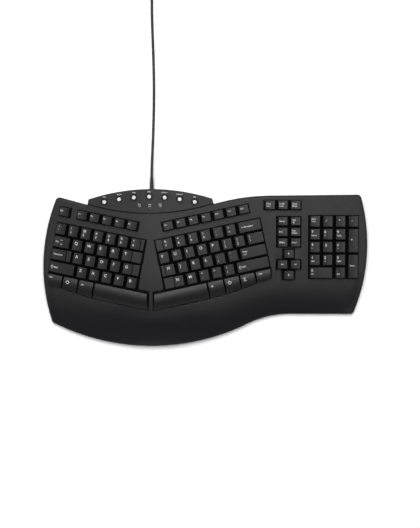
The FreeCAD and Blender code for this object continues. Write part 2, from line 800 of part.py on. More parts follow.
LEFT_FUNCTION_END = LEFT_FUNCTION_EDGE + 5
RIGHT_FUNCTION_END = RIGHT_FUNCTION_EDGE + 7
MAIN_ROWS = (-4, 0)
PAD_ROWS = (-5, 0)
WELLS = {
    "left": [
        [row_band(LEFT_EDGE, LEFT_EDGE + 1, FUNCTION_ROW)],
        [row_band(LEFT_FUNCTION_EDGE, LEFT_FUNCTION_END, FUNCTION_ROW)],
        [row_band(LEFT_EDGE, LEFT_INNER_EDGE, MAIN_ROWS), front_row_outline(LEFT_FRONT_ROW)],
    ],
    "right": [
        [row_band(RIGHT_FUNCTION_EDGE, RIGHT_FUNCTION_END, FUNCTION_ROW)],
        [row_band(RIGHT_INNER_EDGE, RIGHT_EDGE, MAIN_ROWS), front_row_outline(RIGHT_FRONT_ROW)],
    ],
    "side": [
        [row_band(0, 4, PAD_ROWS)],
        [small_band(PRINT_ROW_BACK, 1, [-3, -1])],
        [small_band(NAVIGATION_BACK, 3, [-2, -1])],
        [
            small_band(ARROW_BACK, 1, [-1.5]),
            small_band(ARROW_SIDE_BACK, 1, [-2, -1]),
            small_band(ARROW_DOWN_BACK, 1, [-1.5]),
        ],
    ],
}
SIDE_LEFT = -2 - NAVIGATION_GAP
SIDE_FRONT = ARROW_DOWN_BACK - SMALL_ROW
LAYER_OUTLINES = {
    "left": [
        row_band(LEFT_EDGE, LEFT_INNER_EDGE, (-4, FUNCTION_ROW[1])),
        front_row_outline(LEFT_FRONT_ROW),
    ],
    "right": [
        row_band(RIGHT_INNER_EDGE, RIGHT_EDGE, MAIN_ROWS),
        row_band(RIGHT_FUNCTION_EDGE, RIGHT_FUNCTION_END, (-1, FUNCTION_ROW[1])),
        front_row_outline(RIGHT_FRONT_ROW),
    ],
    "side": [
        row_band(SIDE_LEFT, 4, (SIDE_FRONT, 0)),
        row_band(SIDE_LEFT, -NAVIGATION_GAP, (-1, PRINT_ROW_BACK)),
        row_band(SIDE_LEFT - 1, -NAVIGATION_GAP, (PRINT_ROW_BACK - SMALL_ROW, PRINT_ROW_BACK)),
    ],
}


# makeOffset2D's way to join offset sides: they are lengthened until they meet.
SHARP_JOIN = 2


def well_cutters(plane, margin, z0, z1):
    """The wells of a plane as prisms, each widened by a margin."""
    cutters = []
    for outline in WELLS[plane]:
        face = joined_face(outline)
        if margin:
            face = face.makeOffset2D(margin, SHARP_JOIN)
        cutters.append(placed(prism(face, z0, z1), plane))
    return cutters


def layer(plane, margin, z0, z1):
    """A plane's layer from one level to another, in that plane's own frame."""
    face = joined_face(LAYER_OUTLINES[plane])
    if margin:
        face = face.makeOffset2D(margin, SHARP_JOIN)
    return prism(face, z0, z1)


FRAME_BOTTOM = SKIRT_BOTTOM - FRAME_PLATE
MEMBRANE_TOP = SHEET_TOP - SHEET
BACKING_TOP = MEMBRANE_TOP - MEMBRANE
BACKING_BOTTOM = BACKING_TOP - BACKING


def key_frame(plane, posts):
    """The plate that guides the keys' posts, with a rim down to the rubber sheet."""
    plate = layer(plane, FRAME_MARGIN, FRAME_BOTTOM, SKIRT_BOTTOM - SEAT_GAP)
    rim = layer(plane, FRAME_MARGIN, SHEET_TOP + SEAT_GAP, FRAME_BOTTOM)
    rim = rim.cut(layer(plane, 0, SHEET_TOP, FRAME_BOTTOM))
    half = STEM / 2 + STEM_GAP
    low = FRAME_BOTTOM - PAST
    high = SKIRT_BOTTOM + PAST
    holes = [box(x - half, x + half, y - half, y + half, low, high) for x, y in posts]
    return placed(fused([plate, rim]).cut(Part.makeCompound(holes)), plane)


def rubber_sheet(plane, centres):
    """A rubber sheet with a dome under the middle post of each key."""
    sheet = layer(plane, FRAME_MARGIN, SHEET_TOP - SHEET, SHEET_TOP)
    top = STEM_BOTTOM - DOME_GAP
    domes = [drum(DOME_BASE, SHEET_TOP, top, DOME_CROWN, centre, DOME_SIDES) for centre in centres]
    return placed(fused([sheet] + domes), plane)


def plain_layer(plane, top, bottom):
    return placed(layer(plane, FRAME_MARGIN, bottom, top), plane)


# The pod


def pod_face():
    """The pod in plan: the lens between its front groove and the housing's back edge."""
    return Part.Face(Part.Wire([
        arc_edge(POD_LEFT_ROOT, POD_FRONT, POD_RIGHT_ROOT),
        line_edge(POD_RIGHT_ROOT, POD_RIGHT),
        arc_edge(POD_RIGHT, POD_BACK, POD_LEFT),
        line_edge(POD_LEFT, POD_LEFT_ROOT),
    ]))


def pod_prism(inset, z0, z1):
    return prism(pod_face().makeOffset2D(-inset), z0, z1)


def pod_slab(inset, top, bottom):
    """A slab over the pod that follows the deck, from a rise above it down to a depth below it."""
    return pod_prism(inset, 0, ABOVE).common(under_deck(-top)).cut(under_deck(-bottom))


def deck_frame(x, y):
    """A frame on the rounded deck with Z square to it."""
    height = deck_height(x, y)
    half = math.radians(LEFT_TILT - RIGHT_TILT) / 2
    reach = RIDGE_RADIUS * math.tan(half)
    tilt = LEFT_TILT if x < RIDGE_X else RIGHT_TILT
    if abs(x - RIDGE_X) < reach:
        share = (x - RIDGE_X + reach) / (2 * reach)
        tilt = LEFT_TILT + (RIGHT_TILT - LEFT_TILT) * share
        height -= (reach - abs(x - RIDGE_X)) ** 2 / (2 * RIDGE_RADIUS)
    normal = V(-tangent(tilt), -tangent(DECK_SLOPE), 1)
    return Placement(V(x, y, height), Rotation(V(0, 0, 1), normal))


def turned(shape, place):
    shape.Placement = deck_frame(*place)
    return shape


def mirrored_places(places):
    """Places on the left half of the pod, with their mirror images about its middle."""
    centre = places[-1][0]
    return places + [(2 * centre - x, y) for x, y in reversed(places[:-1])]


def hotkey_places():
    return mirrored_places(HOTKEY_PLACES)


def hotkey_hole():
    """The hole for a hotkey, with the dished ring round it."""
    radius = HOTKEY_RADIUS + HOTKEY_CLEARANCE
    hole = drum(radius, -PANEL_RISE, 2 * PANEL_RISE)
    mouth = radius + HOTKEY_DISH + PAST
    dish = drum(radius, PANEL_RISE - HOTKEY_DISH, PANEL_RISE + PAST, mouth)
    return hole.fuse(dish)


def hotkey():
    """A round button with a domed top, and the flange that keeps it under the panel."""
    top = PANEL_RISE + HOTKEY_RISE - HOTKEY_DISH / 2
    shoulder = top - HOTKEY_CROWN
    stem = drum(HOTKEY_RADIUS, -SEAT_GAP - HOTKEY_FLANGE_THICKNESS, shoulder)
    crown = drum(HOTKEY_RADIUS, shoulder, top, HOTKEY_RADIUS - 2 * HOTKEY_CROWN)
    flange = drum(HOTKEY_FLANGE, -SEAT_GAP - HOTKEY_FLANGE_THICKNESS, -SEAT_GAP)
    return fused([stem, crown, flange])


def lamp():
    """A small clear lens that shows in the panel, with a flange below it."""
    bottom = -SEAT_GAP - LAMP_FLANGE_THICKNESS
    lens = drum(LAMP_RADIUS, bottom, PANEL_RISE + LAMP_RISE, sides=SMALL_SIDES)
    flange = drum(LAMP_FLANGE, bottom, -SEAT_GAP, sides=SMALL_SIDES)
    return fused([lens, flange])


def media_panel():
    slab = pod_prism(POD_CLEARANCE, 0, ABOVE).common(under_deck(-PANEL_RISE))
    slab = slab.makeChamfer(PANEL_CHAMFER, rim_edges(slab, PAST, lambda edge: True))
    slab = slab.cut(under_deck(0))
    rim = pod_slab(POD_CLEARANCE, 0, -POD_FLOOR_DEPTH + SEAT_GAP)
    rim = rim.cut(pod_slab(POD_CLEARANCE + PANEL_RIM, SEAT_GAP, -POD_FLOOR_DEPTH))
    panel = slab.fuse(rim).removeSplitter()
    for place in hotkey_places():
        panel = panel.cut(turned(hotkey_hole(), place))
    for place in LAMP_PLACES:
        hole = drum(LAMP_RADIUS + LAMP_CLEARANCE, -PANEL_RISE, 2 * PANEL_RISE, sides=SMALL_SIDES)
        panel = panel.cut(turned(hole, place))
    return panel


def hotkey_strip():
    """The thin contact strip that lies on the pod's floor under the hotkeys."""
    inset = POD_CLEARANCE + PANEL_RIM + STRIP_CLEARANCE
    return pod_slab(inset, -POD_FLOOR_DEPTH + HOTKEY_STRIP, -POD_FLOOR_DEPTH)


# The housing's two halves


def post(place, z0, z1):
    half = POST_WIDTH / 2
    return box(place[0] - half, place[0] + half, place[1] - half, place[1] + half, z0, z1)


def top_case(body):
    shell = body.cut(housing_cavity(WALL, WALL))
    extra = [upright(BOSS_RADIUS, place, PARTING_HEIGHT, ABOVE) for place in SCREW_PLACES]
    extra.append(pod_prism(-POD_WALL, 0, ABOVE).cut(under_deck(POD_FLOOR_DEPTH + POD_FLOOR)))
    for plane in PLANES:
        extra += well_cutters(plane, SKIRT_WALL, SKIRT_BOTTOM, EDGE_RADIUS)
    inside = Part.makeCompound(extra).common(body)
    case = fused([shell] + inside.Solids)
    for plane in PLANES:
        for cutter in well_cutters(plane, 0, SKIRT_BOTTOM - PAST, EDGE_RADIUS + PAST):
            case = case.cut(cutter)
    case = case.cut(pod_prism(0, 0, ABOVE).cut(under_deck(POD_FLOOR_DEPTH)))
    for place in SCREW_PLACES:
        case = case.cut(upright(SCREW_RADIUS + SCREW_CLEARANCE, place, 0, SCREW_TIP + SCREW_SPARE))
    hole = drum(RELIEF_NECK + RELIEF_SEAT, -2 * WALL, WALL, sides=SMALL_SIDES)
    return case.cut(along_cord(hole))


LEG_AXIS_Z = FLOOR_HEIGHT + LEG_SINK + LEG_THICKNESS / 2
POCKET_TOP = LEG_AXIS_Z + LEG_THICKNESS / 2 + LEG_CLEARANCE
POCKET_BACK = LEG_PIVOT_Y + LEG_THICKNESS / 2 + 2 * LEG_CLEARANCE
POCKET_FRONT = LEG_PIVOT_Y - LEG_LENGTH - LEG_CLEARANCE
POCKET_HALF = LEG_WIDTH / 2 + LEG_CLEARANCE
NOTCH_HALF = NOTCH_WIDTH / 2


def leg_pocket(x, wall, z0, top):
    """A tilt leg's pocket and its finger notch, as a block that is a wall larger all round."""
    half = POCKET_HALF + wall
    notch = NOTCH_HALF + wall
    front = POCKET_FRONT - wall
    return [
        box(x - half, x + half, front, POCKET_BACK + wall, z0, top),
        box(x - notch, x + notch, front - NOTCH_DEPTH, POCKET_FRONT, z0, top),
    ]


def board_posts(z0):
    posts = []
    for x in (-1, 1):
        for y in (-1, 1):
            place = (
                BOARD_X + x * (BOARD_LENGTH / 2 - BOARD_POST_INSET),
                BOARD_Y + y * (BOARD_WIDTH / 2 - BOARD_POST_INSET),
            )
            posts.append(post(place, z0, BOARD_HEIGHT - SEAT_GAP))
    return posts


def bottom_case():
    """The tray: its floor and wall, screw seats, leg pockets and the posts for what lies above."""
    rim = PARTING_HEIGHT - SEAT_GAP
    tray = housing_prism(FLOOR_HEIGHT, rim)
    bottom = min(tray.Faces, key=lambda face: face.CenterOfMass.z)
    tray = tray.makeChamfer(TRAY_CHAMFER, bottom.OuterWire.Edges)
    floor_top = FLOOR_HEIGHT + FLOOR
    tray = tray.cut(inner_prism(WALL, floor_top, PARTING_HEIGHT))
    seats = [upright(BOSS_RADIUS, place, floor_top, rim) for place in SCREW_PLACES]
    for x in LEG_PLACES.values():
        seats += leg_pocket(x, POCKET_WALL, FLOOR_HEIGHT, POCKET_TOP + LEG_WALL)
    tray = fused([tray] + seats + board_posts(floor_top) + layer_posts())
    low = FLOOR_HEIGHT - PAST
    head_top = FLOOR_HEIGHT + SCREW_SINK + HEAD_HEIGHT
    cuts = []
    for place in SCREW_PLACES:
        cuts.append(upright(SCREW_RADIUS + SCREW_CLEARANCE, place, low, PARTING_HEIGHT))
        cuts.append(upright(HEAD_RADIUS + SCREW_CLEARANCE, place, low, head_top))
    for place in FOOT_PLACES:
        foot = upright(FOOT_RADIUS + FOOT_CLEARANCE, place, low, FLOOR_HEIGHT + FOOT_SEAT, ROUND_SIDES)
        cuts.append(foot)
    for x in LEG_PLACES.values():
        cuts += leg_pocket(x, 0, low, POCKET_TOP)
        reach = LEG_WIDTH / 2 + LEG_PIN_LENGTH + LEG_CLEARANCE
        hole = LEG_PIN_RADIUS + PIN_CLEARANCE
        cuts.append(lying(hole, x - reach, x + reach, LEG_PIVOT_Y, LEG_AXIS_Z))
    for cut in cuts:
        tray = tray.cut(cut)
    return tray


# Where each plane's layers rest on posts from the tray, in pitches from the plane's corner.
POST_PLACES = {
    "left": [(1.0, -0.5), (4.0, -0.5), (6.6, -0.5), (1.5, -3.5), (6.6, -3.5), (6.2, -4.7)],
    "right": [(7.2, -0.5), (10.6, -0.5), (14.4, -0.5), (7.2, -3.5), (13.9, -3.5), (8.0, -4.7)],
    "side": [(-1.6, -1.0), (-1.6, -3.8), (1.0, -1.0), (3.4, -1.0), (1.0, -4.2), (3.4, -4.2)],
}


def layer_posts():
    """Posts from the tray's floor to the underside of the backing plates."""
    room = box(-REACH, REACH, -BEHIND, BEHIND, FLOOR_HEIGHT + FLOOR / 2, ABOVE)
    posts = []
    for plane, places in POST_PLACES.items():
        for x, y in places:
            foot = post((x * PITCH, y * PITCH), BELOW, BACKING_BOTTOM - SEAT_GAP)
            posts.append(placed(foot, plane).common(room))
    return posts


# Fasteners, feet, legs and the board


def screw(place):
    bottom = FLOOR_HEIGHT + SCREW_SINK
    head = upright(HEAD_RADIUS, place, bottom, bottom + HEAD_HEIGHT)
    shank = upright(SCREW_RADIUS, place, bottom + HEAD_HEIGHT / 2, SCREW_TIP)
    reach = HEAD_RADIUS - 1
    half = SCREW_SLOT_WIDTH / 2
    slot = box(
        place[0] - reach, place[0] + reach, place[1] - half, place[1] + half,
        bottom - PAST, bottom + SCREW_SLOT_DEPTH,
    )
    return head.fuse(shank).removeSplitter().cut(slot)


def tilt_leg(x):
    """A folding leg: a hollow plate with a round end that turns on two pins."""
    half = LEG_WIDTH / 2
    thick = LEG_THICKNESS / 2
    tip = LEG_PIVOT_Y - LEG_LENGTH
    plate = box(x - half, x + half, tip, LEG_PIVOT_Y, LEG_AXIS_Z - thick, LEG_AXIS_Z + thick)
    inner = box(
        x - half + LEG_WALL, x + half - LEG_WALL,
        tip + LEG_WALL, LEG_PIVOT_Y - LEG_THICKNESS,
        LEG_AXIS_Z - thick + LEG_WALL, LEG_AXIS_Z + thick + PAST,
    )
    knuckle = lying(thick, x - half, x + half, LEG_PIVOT_Y, LEG_AXIS_Z)
    reach = half + LEG_PIN_LENGTH
    pin = lying(LEG_PIN_RADIUS, x - reach, x + reach, LEG_PIVOT_Y, LEG_AXIS_Z)
    return fused([plate.cut(inner), knuckle, pin])


# What stands on the board, each as its left and right edge, front and back edge and height, all
# from the board's middle and top: the chip, the crystal, the cord's socket and the films' clamp.
BOARD_PARTS = [
    (-20.0, -8.0, -6.0, 6.0, 1.4),
    (-2.0, 6.0, -2.0, 2.0, 3.0),
    (12.0, 24.0, 1.0, 7.0, 6.0),
    (-28.0, 28.0, -9.5, -6.5, 3.0),
]
CAPACITOR_X = 34.0
CAPACITOR_RADIUS = 2.6
CAPACITOR_HEIGHT = 6.0


def controller_board():
    """The board and what stands on it."""
    x = BOARD_LENGTH / 2
    y = BOARD_WIDTH / 2
    top = BOARD_HEIGHT + BOARD_THICKNESS
    solids = [box(BOARD_X - x, BOARD_X + x, BOARD_Y - y, BOARD_Y + y, BOARD_HEIGHT, top)]
    for x0, x1, y0, y1, height in BOARD_PARTS:
        solids.append(box(BOARD_X + x0, BOARD_X + x1, BOARD_Y + y0, BOARD_Y + y1, top, top + height))
    capacitor = (BOARD_X + CAPACITOR_X, BOARD_Y)
    solids.append(upright(CAPACITOR_RADIUS, capacitor, top, top + CAPACITOR_HEIGHT))
    return solids


def along_cord(shape):
    """A shape drawn upright about the origin, laid along the cord where it leaves the back wall."""
    exit_place = V(CORD_X, POD_BACK[1], CORD_EXIT_HEIGHT)
    laid = Placement(exit_place, Rotation(V(0, 0, 1), V(0, 1, 0)))
    shape.Placement = laid.multiply(shape.Placement)
    return shape


def strain_relief():
    """A rubber sleeve: an inner flange, a neck in the wall, a collar and a grooved taper."""
    outside = RELIEF_SEAT
    inside = -WALL - RELIEF_SEAT
    pieces = [
        drum(RELIEF_COLLAR, inside - RELIEF_PLATE, inside, sides=SMALL_SIDES),
        drum(RELIEF_NECK, inside, outside, sides=SMALL_SIDES),
        drum(RELIEF_COLLAR, outside, outside + RELIEF_PLATE, sides=SMALL_SIDES),
    ]
    count = 2 * RELIEF_GROOVES + 1
    step = RELIEF_LENGTH / count
    taper = (RELIEF_RADIUS - RELIEF_TIP) / count
    for i in range(count):
        z = outside + RELIEF_PLATE + step * i
        groove = RELIEF_GROOVE if i % 2 == 1 else 0
        radius = RELIEF_RADIUS - taper * i - groove
        pieces.append(drum(radius, z, z + step, radius - taper + groove / 2, sides=SMALL_SIDES))
    return along_cord(fused(pieces))


# The cord


def section(centre, direction, sides, radius):
    """A many-sided section of the cord, square to its direction, standing on one of its flats."""
    along = V(*direction).normalize()
    across = V(0, 0, 1).cross(along).normalize()
    up = along.cross(across)
    corners = []
    for i in range(sides):
        angle = 2 * math.pi * (i + 0.5) / sides - math.pi / 2
        corners.append(centre + across * (radius * math.cos(angle)) + up * (radius * math.sin(angle)))
    return Part.makePolygon(corners + corners[:1])


def swept(edges, direction):
    """The cord along a path of tangent edges, with as large a section as a round one."""
    path = Part.Wire(edges)
    sector = 2 * math.pi / CORD_SIDES
    radius = CORD_RADIUS * math.sqrt(sector / math.sin(sector))
    start = edges[0].valueAt(edges[0].FirstParameter)
    return path.makePipeShell([section(start, direction, CORD_SIDES, radius)], True, False)


def cord_radii(points):
    """An arc at each inner point, as large as its two runs allow."""
    radii = []
    for before, corner, after in zip(points, points[1:], points[2:]):
        shorter = min((corner - before).Length, (after - corner).Length)
        turn = math.pi - (before - corner).getAngle(after - corner)
        radii.append(ROUNDED_SHARE * shorter / math.tan(turn / 2))
    print("cord radii", [round(radius) for radius in radii])
    return radii


def biarc(start, start_way, end, end_way):
    """Two tangent arcs from one point and direction to another."""
    gap = end - start
    both = start_way + end_way
    a = 2 * (1 - start_way.dot(end_way))
    b = 2 * gap.dot(both)
    c = -gap.dot(gap)
    if abs(a) < 1e-9:
        reach = -c / b
    else:
        reach = (-b + math.sqrt(b * b - 4 * a * c)) / (2 * a)
    joint = (start + end + (start_way - end_way) * reach) / 2
    first = Part.Arc(start, arc_middle(start, start_way, joint), joint).toShape()
    second = Part.Arc(joint, arc_middle(end, end_way * -1, joint), end).toShape()
    return [first, second]


def arc_middle(start, way, end):
    """The middle of the arc that leaves start along way and reaches end."""
    chord = end - start
    along = chord * (1 / chord.Length)
    side = (way - along * way.dot(along)).normalize()
    return (start + end) / 2 + side * (chord.Length / 2 * math.tan(way.getAngle(chord) / 2))


LAYER_SWING = COIL_PITCH * TURNS_IN_LAYER
COIL_CENTRE = (CORD_ROUTE[-1][0] + COIL_RADIUS + LAYER_SWING / 2, CORD_ROUTE[-1][1])


def coil_point(turn):
    """A point of the coil after some turns: in and out at a steady rate, climbing as it reverses."""
    number = min(int(turn / TURNS_IN_LAYER), COIL_LAYERS - 1)
    share = turn / TURNS_IN_LAYER - number
    swing = LAYER_SWING * (0.5 - share)
    radius = COIL_RADIUS + (swing if number % 2 == 0 else -swing)
    climb = 0.25 / TURNS_IN_LAYER
    level = number
    if share < climb and number > 0:
        level = number - 0.5 + share / climb / 2
    if share > 1 - climb and number < COIL_LAYERS - 1:
        level = number + (share - 1 + climb) / climb / 2
    angle = math.pi - 2 * math.pi * turn
    height = COIL_LIFT + CORD_RADIUS + level * COIL_PITCH
    if share > 1:
        height += (PLUG_Z - height) * (turn - COIL_LAYERS * TURNS_IN_LAYER) / TAIL_TURN
    x, y = COIL_CENTRE
    return V(x + radius * math.cos(angle), y + radius * math.sin(angle), height)


def coil_way(turn):
    step = 0.002
    before = coil_point(max(turn - step, 0))
    after = coil_point(turn + step)
    return (after - before).normalize()


def coil_edges():
    """The coil's turns as quarter-turn biarcs, and the tail that crosses its top to the plug."""
    count = int((COIL_LAYERS * TURNS_IN_LAYER + TAIL_TURN) * 4)
    points = [coil_point(i / 4) for i in range(count + 1)]
    ways = [V(0, 1, 0)] + [coil_way(i / 4) for i in range(1, count)] + [V(1, 0, 0)]
    edges = []
    for i in range(count):
        edges += biarc(points[i], ways[i], points[i + 1], ways[i + 1])
    inward = V(0, -1, 0)
    tail = points[-1] + (ways[-1] + inward) * TAIL_RADIUS
    edges += biarc(points[-1], ways[-1], tail, inward)
    end = tail + inward * TAIL_RUN
    edges.append(Part.makeLine(tail, end))
    return edges, end, inward


COIL_TOP = COIL_LIFT + 2 * CORD_RADIUS + (COIL_LAYERS - 1) * COIL_PITCH
PLUG_Z = COIL_TOP + PLUG_GAP + PLUG_HEIGHT / 2


def least_gap(edges):
    """The least gap between the coil's turns, and the coil's length, on points along its path."""
    points = []
    for edge in edges:
        steps = max(2, int(edge.Length / CORD_RADIUS))
        points += edge.discretize(steps + 1)[:-1]
    travelled = [0.0]
    for a, b in zip(points, points[1:]):
        travelled.append(travelled[-1] + (b - a).Length)
    least = REACH
    for i, a in enumerate(points):
        for j in range(i + 1, len(points)):
            if travelled[j] - travelled[i] > 6 * CORD_RADIUS:
                least = min(least, (a - points[j]).Length)
    return least - 2 * CORD_RADIUS, sum(edge.Length for edge in edges)


def cord_tie():
    """A flat band round the coil's turns, on the side away from the plug."""
    inner = COIL_RADIUS - LAYER_SWING / 2 - CORD_RADIUS - TIE_GAP
    outer = COIL_RADIUS + LAYER_SWING / 2 + CORD_RADIUS + TIE_GAP
    low = COIL_LIFT - TIE_GAP
    high = COIL_TOP + TIE_GAP
    half = TIE_WIDTH / 2
    x, y = COIL_CENTRE
    space = box(x - half - PAST, x + half + PAST, y - outer, y - inner, low, high)
    band = box(
        x - half, x + half,
        y - outer - TIE_THICKNESS, y - inner + TIE_THICKNESS,
        low - TIE_THICKNESS, high + TIE_THICKNESS,
    )
    return band.cut(space)


def plug(end, way):
    """A moulded plug body and its metal shell, lying across the top of the coil."""
    half = PLUG_WIDTH / 2
    thick = PLUG_HEIGHT / 2
    body = box(0, PLUG_LENGTH, -half, half, -thick, thick)
    body = body.makeChamfer(PLUG_CHAMFER, body.Edges)
    tip = PLUG_LENGTH + PLUG_SHELL_LENGTH
    width = PLUG_SHELL_WIDTH / 2
    height = PLUG_SHELL_HEIGHT / 2
    wall = PLUG_SHELL_WALL
    shell = box(PLUG_LENGTH, tip, -width, width, -height, height)
    mouth = box(
        PLUG_LENGTH + PLUG_SHELL_ROOT, tip + PAST, -width + wall, width - wall, -height + wall, 0,
    )
    shell = shell.cut(mouth)
    for shape in (body, shell):
        shape.Placement = Placement(end, Rotation(V(1, 0, 0), way))
    return body, shell


def build():
    """Every node of the keyboard, by name."""
    nodes = {}
    keys, posts, centres = make_keys()
    nodes["top_case"] = top_case(housing_body())
    nodes["bottom_case"] = bottom_case()
    nodes["media_panel"] = media_panel()
    nodes["hotkey_strip"] = hotkey_strip()
    for i, place in enumerate(hotkey_places()):
        nodes[f"hotkey_{i + 1}"] = turned(hotkey(), place)
    nodes["indicator_lenses"] = Part.makeCompound([turned(lamp(), place) for place in LAMP_PLACES])
    for plane in PLANES:
        nodes[f"{plane}_key_frame"] = key_frame(plane, posts[plane])
    sheets = [rubber_sheet(plane, centres[plane]) for plane in PLANES]
    nodes["rubber_domes"] = Part.makeCompound(sheets)
    films = [plain_layer(plane, MEMBRANE_TOP, BACKING_TOP) for plane in PLANES]
    nodes["membranes"] = Part.makeCompound(films)
    plates = [plain_layer(plane, BACKING_TOP, BACKING_BOTTOM) for plane in PLANES]
    nodes["backing_plates"] = Part.makeCompound(plates)
    nodes["controller_board"] = Part.makeCompound(controller_board())
    nodes["case_screws"] = Part.makeCompound([screw(place) for place in SCREW_PLACES])
    foot_top = FLOOR_HEIGHT + FOOT_SEAT
    feet = [upright(FOOT_RADIUS, place, 0, foot_top, ROUND_SIDES) for place in FOOT_PLACES]
    nodes["rubber_feet"] = Part.makeCompound(feet)
    for name, x in LEG_PLACES.items():
        nodes[name] = tilt_leg(x)
    nodes["strain_relief"] = strain_relief()
    relief_end = POD_BACK[1] + RELIEF_SEAT + RELIEF_PLATE + RELIEF_LENGTH
    route = [V(CORD_X, relief_end, CORD_EXIT_HEIGHT)] + [V(*point) for point in CORD_ROUTE]
    edges = rounded_path(route, cord_radii(route))
    nodes["cord"] = swept(edges, V(0, 1, 0))
    run = sum(edge.Length for edge in edges)
    coil, end, way = coil_edges()
    gap, length = least_gap(coil)
    print("coil's least gap", round(gap, 2), "cord length", round(run + length))
    nodes["cord_coil"] = swept(coil, V(0, 1, 0))
    nodes["cord_tie"] = cord_tie()
    nodes["plug_body"], nodes["plug_shell"] = plug(end, way)
    for node, caps in keys.items():
        nodes[node] = Part.makeCompound(caps)
    return nodes


os.makedirs("parts", exist_ok=True)
for name, shape in build().items():
    if shape.ShapeType == "Compound" and len(shape.Solids) == 1:
        shape = shape.Solids[0]
    shape.exportStep(f"parts/{name}.step")
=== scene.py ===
# %% [markdown]
# # An ergonomic keyboard, dressed for its portrait
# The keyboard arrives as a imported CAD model: a split, tented housing with a palm rest, 105 keycaps,
# seven round hotkeys on a pod, and a cord. This lesson loads it, lights it, and then gives each
# piece the finish and the fine shape that the CAD model leaves out: soft edges on the caps, printed
# legends, moulded grain, and a cord that lies as real cord does.

import json
import math

import bpy
from mathutils import Matrix, Vector, kdtree
from mathutils.bvhtree import BVHTree

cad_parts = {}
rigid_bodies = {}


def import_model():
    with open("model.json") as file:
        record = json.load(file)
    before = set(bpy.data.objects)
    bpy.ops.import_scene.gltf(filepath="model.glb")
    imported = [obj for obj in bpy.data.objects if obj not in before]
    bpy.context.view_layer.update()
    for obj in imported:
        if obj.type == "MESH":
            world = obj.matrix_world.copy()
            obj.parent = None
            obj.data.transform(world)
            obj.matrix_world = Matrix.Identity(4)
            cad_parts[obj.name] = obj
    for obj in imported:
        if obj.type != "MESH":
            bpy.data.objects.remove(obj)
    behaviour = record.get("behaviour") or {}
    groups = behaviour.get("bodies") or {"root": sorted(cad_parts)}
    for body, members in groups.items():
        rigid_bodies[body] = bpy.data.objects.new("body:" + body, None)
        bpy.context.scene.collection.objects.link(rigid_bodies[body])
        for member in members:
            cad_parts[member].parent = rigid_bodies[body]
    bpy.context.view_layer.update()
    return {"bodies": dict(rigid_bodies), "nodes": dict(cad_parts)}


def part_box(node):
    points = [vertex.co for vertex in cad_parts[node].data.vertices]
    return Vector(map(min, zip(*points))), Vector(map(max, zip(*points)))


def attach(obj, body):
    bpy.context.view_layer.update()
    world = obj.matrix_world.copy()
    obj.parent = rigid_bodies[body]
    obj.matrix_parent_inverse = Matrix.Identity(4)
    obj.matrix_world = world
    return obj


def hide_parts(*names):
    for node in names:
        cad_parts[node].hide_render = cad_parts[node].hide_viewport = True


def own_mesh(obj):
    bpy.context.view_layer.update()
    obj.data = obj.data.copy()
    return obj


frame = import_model()
MM = 0.001

# %% [markdown]
# ## The camera
# The photograph looks straight down on the desk, with the keyboard's back edge along the top. So
# the camera stands over the keyboard and isn't turned at all: an unturned camera looks down -Z with
# +Y up in the picture. The sensor is fitted to the picture's height, so the lens follows from how
# much of the desk that height shows.

# %% Camera
CAMERA_PLACE = (7.1 * MM, 6.3 * MM, 1.5)
SEEN_HEIGHT = 797.3 * MM
SENSOR = 24.0

bpy.ops.object.camera_add(location=CAMERA_PLACE, rotation=(0, 0, 0))
camera = bpy.context.object
camera.data.sensor_fit = "VERTICAL"
camera.data.sensor_height = SENSOR
camera.data.lens = SENSOR * CAMERA_PLACE[2] / SEEN_HEIGHT
bpy.context.scene.camera = camera
print("lens", round(camera.data.lens, 2), "mm")

# %% [markdown]
# ## The cord
# The real cord is 4 mm thick and 1.8 m long. It leaves the back of the pod through a strain relief,
# drops to the desk and runs straight back out of the picture, where the rest lies wound in a coil
# with the plug on top. A cord is one smooth line, so it is one NURBS curve with a round bevel. Its
# control points are few: some along the run, and twelve for each turn of the coil.

# %% Cord points
CORD_RADIUS = 2.0
CORD_RUN = [
    (-80.1, 136.6, 12.0),
    (-80.1, 148.0, 12.0),
    (-79.8, 166.0, 5.4),
    (-79.0, 190.0, 2.0),
    (-77.6, 232.0, 2.0),
    (-77.2, 280.0, 2.0),
    (-78.6, 330.0, 2.0),
    (-80.4, 376.0, 2.0),
    (-80.6, 412.0, 2.4),
]
COIL_RADIUS = 22.5
COIL_LAYERS = 4
TURNS_IN_LAYER = 2.5
COIL_PITCH = 4.6
COIL_LIFT = 0.9
LAYER_SWING = COIL_PITCH * TURNS_IN_LAYER
COIL_CENTRE = (-80.6 + COIL_RADIUS + LAYER_SWING / 2, 440.0)
CLIMB_TURN = 0.25
PLUG_HEIGHT = 7.4
PLUG_GAP = 0.2
PLUG_Z = COIL_LIFT + 2 * CORD_RADIUS + (COIL_LAYERS - 1) * COIL_PITCH + PLUG_GAP + PLUG_HEIGHT / 2
TAIL_TURN = 0.25
TAIL_RADIUS = 13.0
TAIL_RUN = 4.0
TAIL_LEAD = 5.0
TAIL_EASE = (0.2, 1.0)
POINTS_IN_TURN = 12


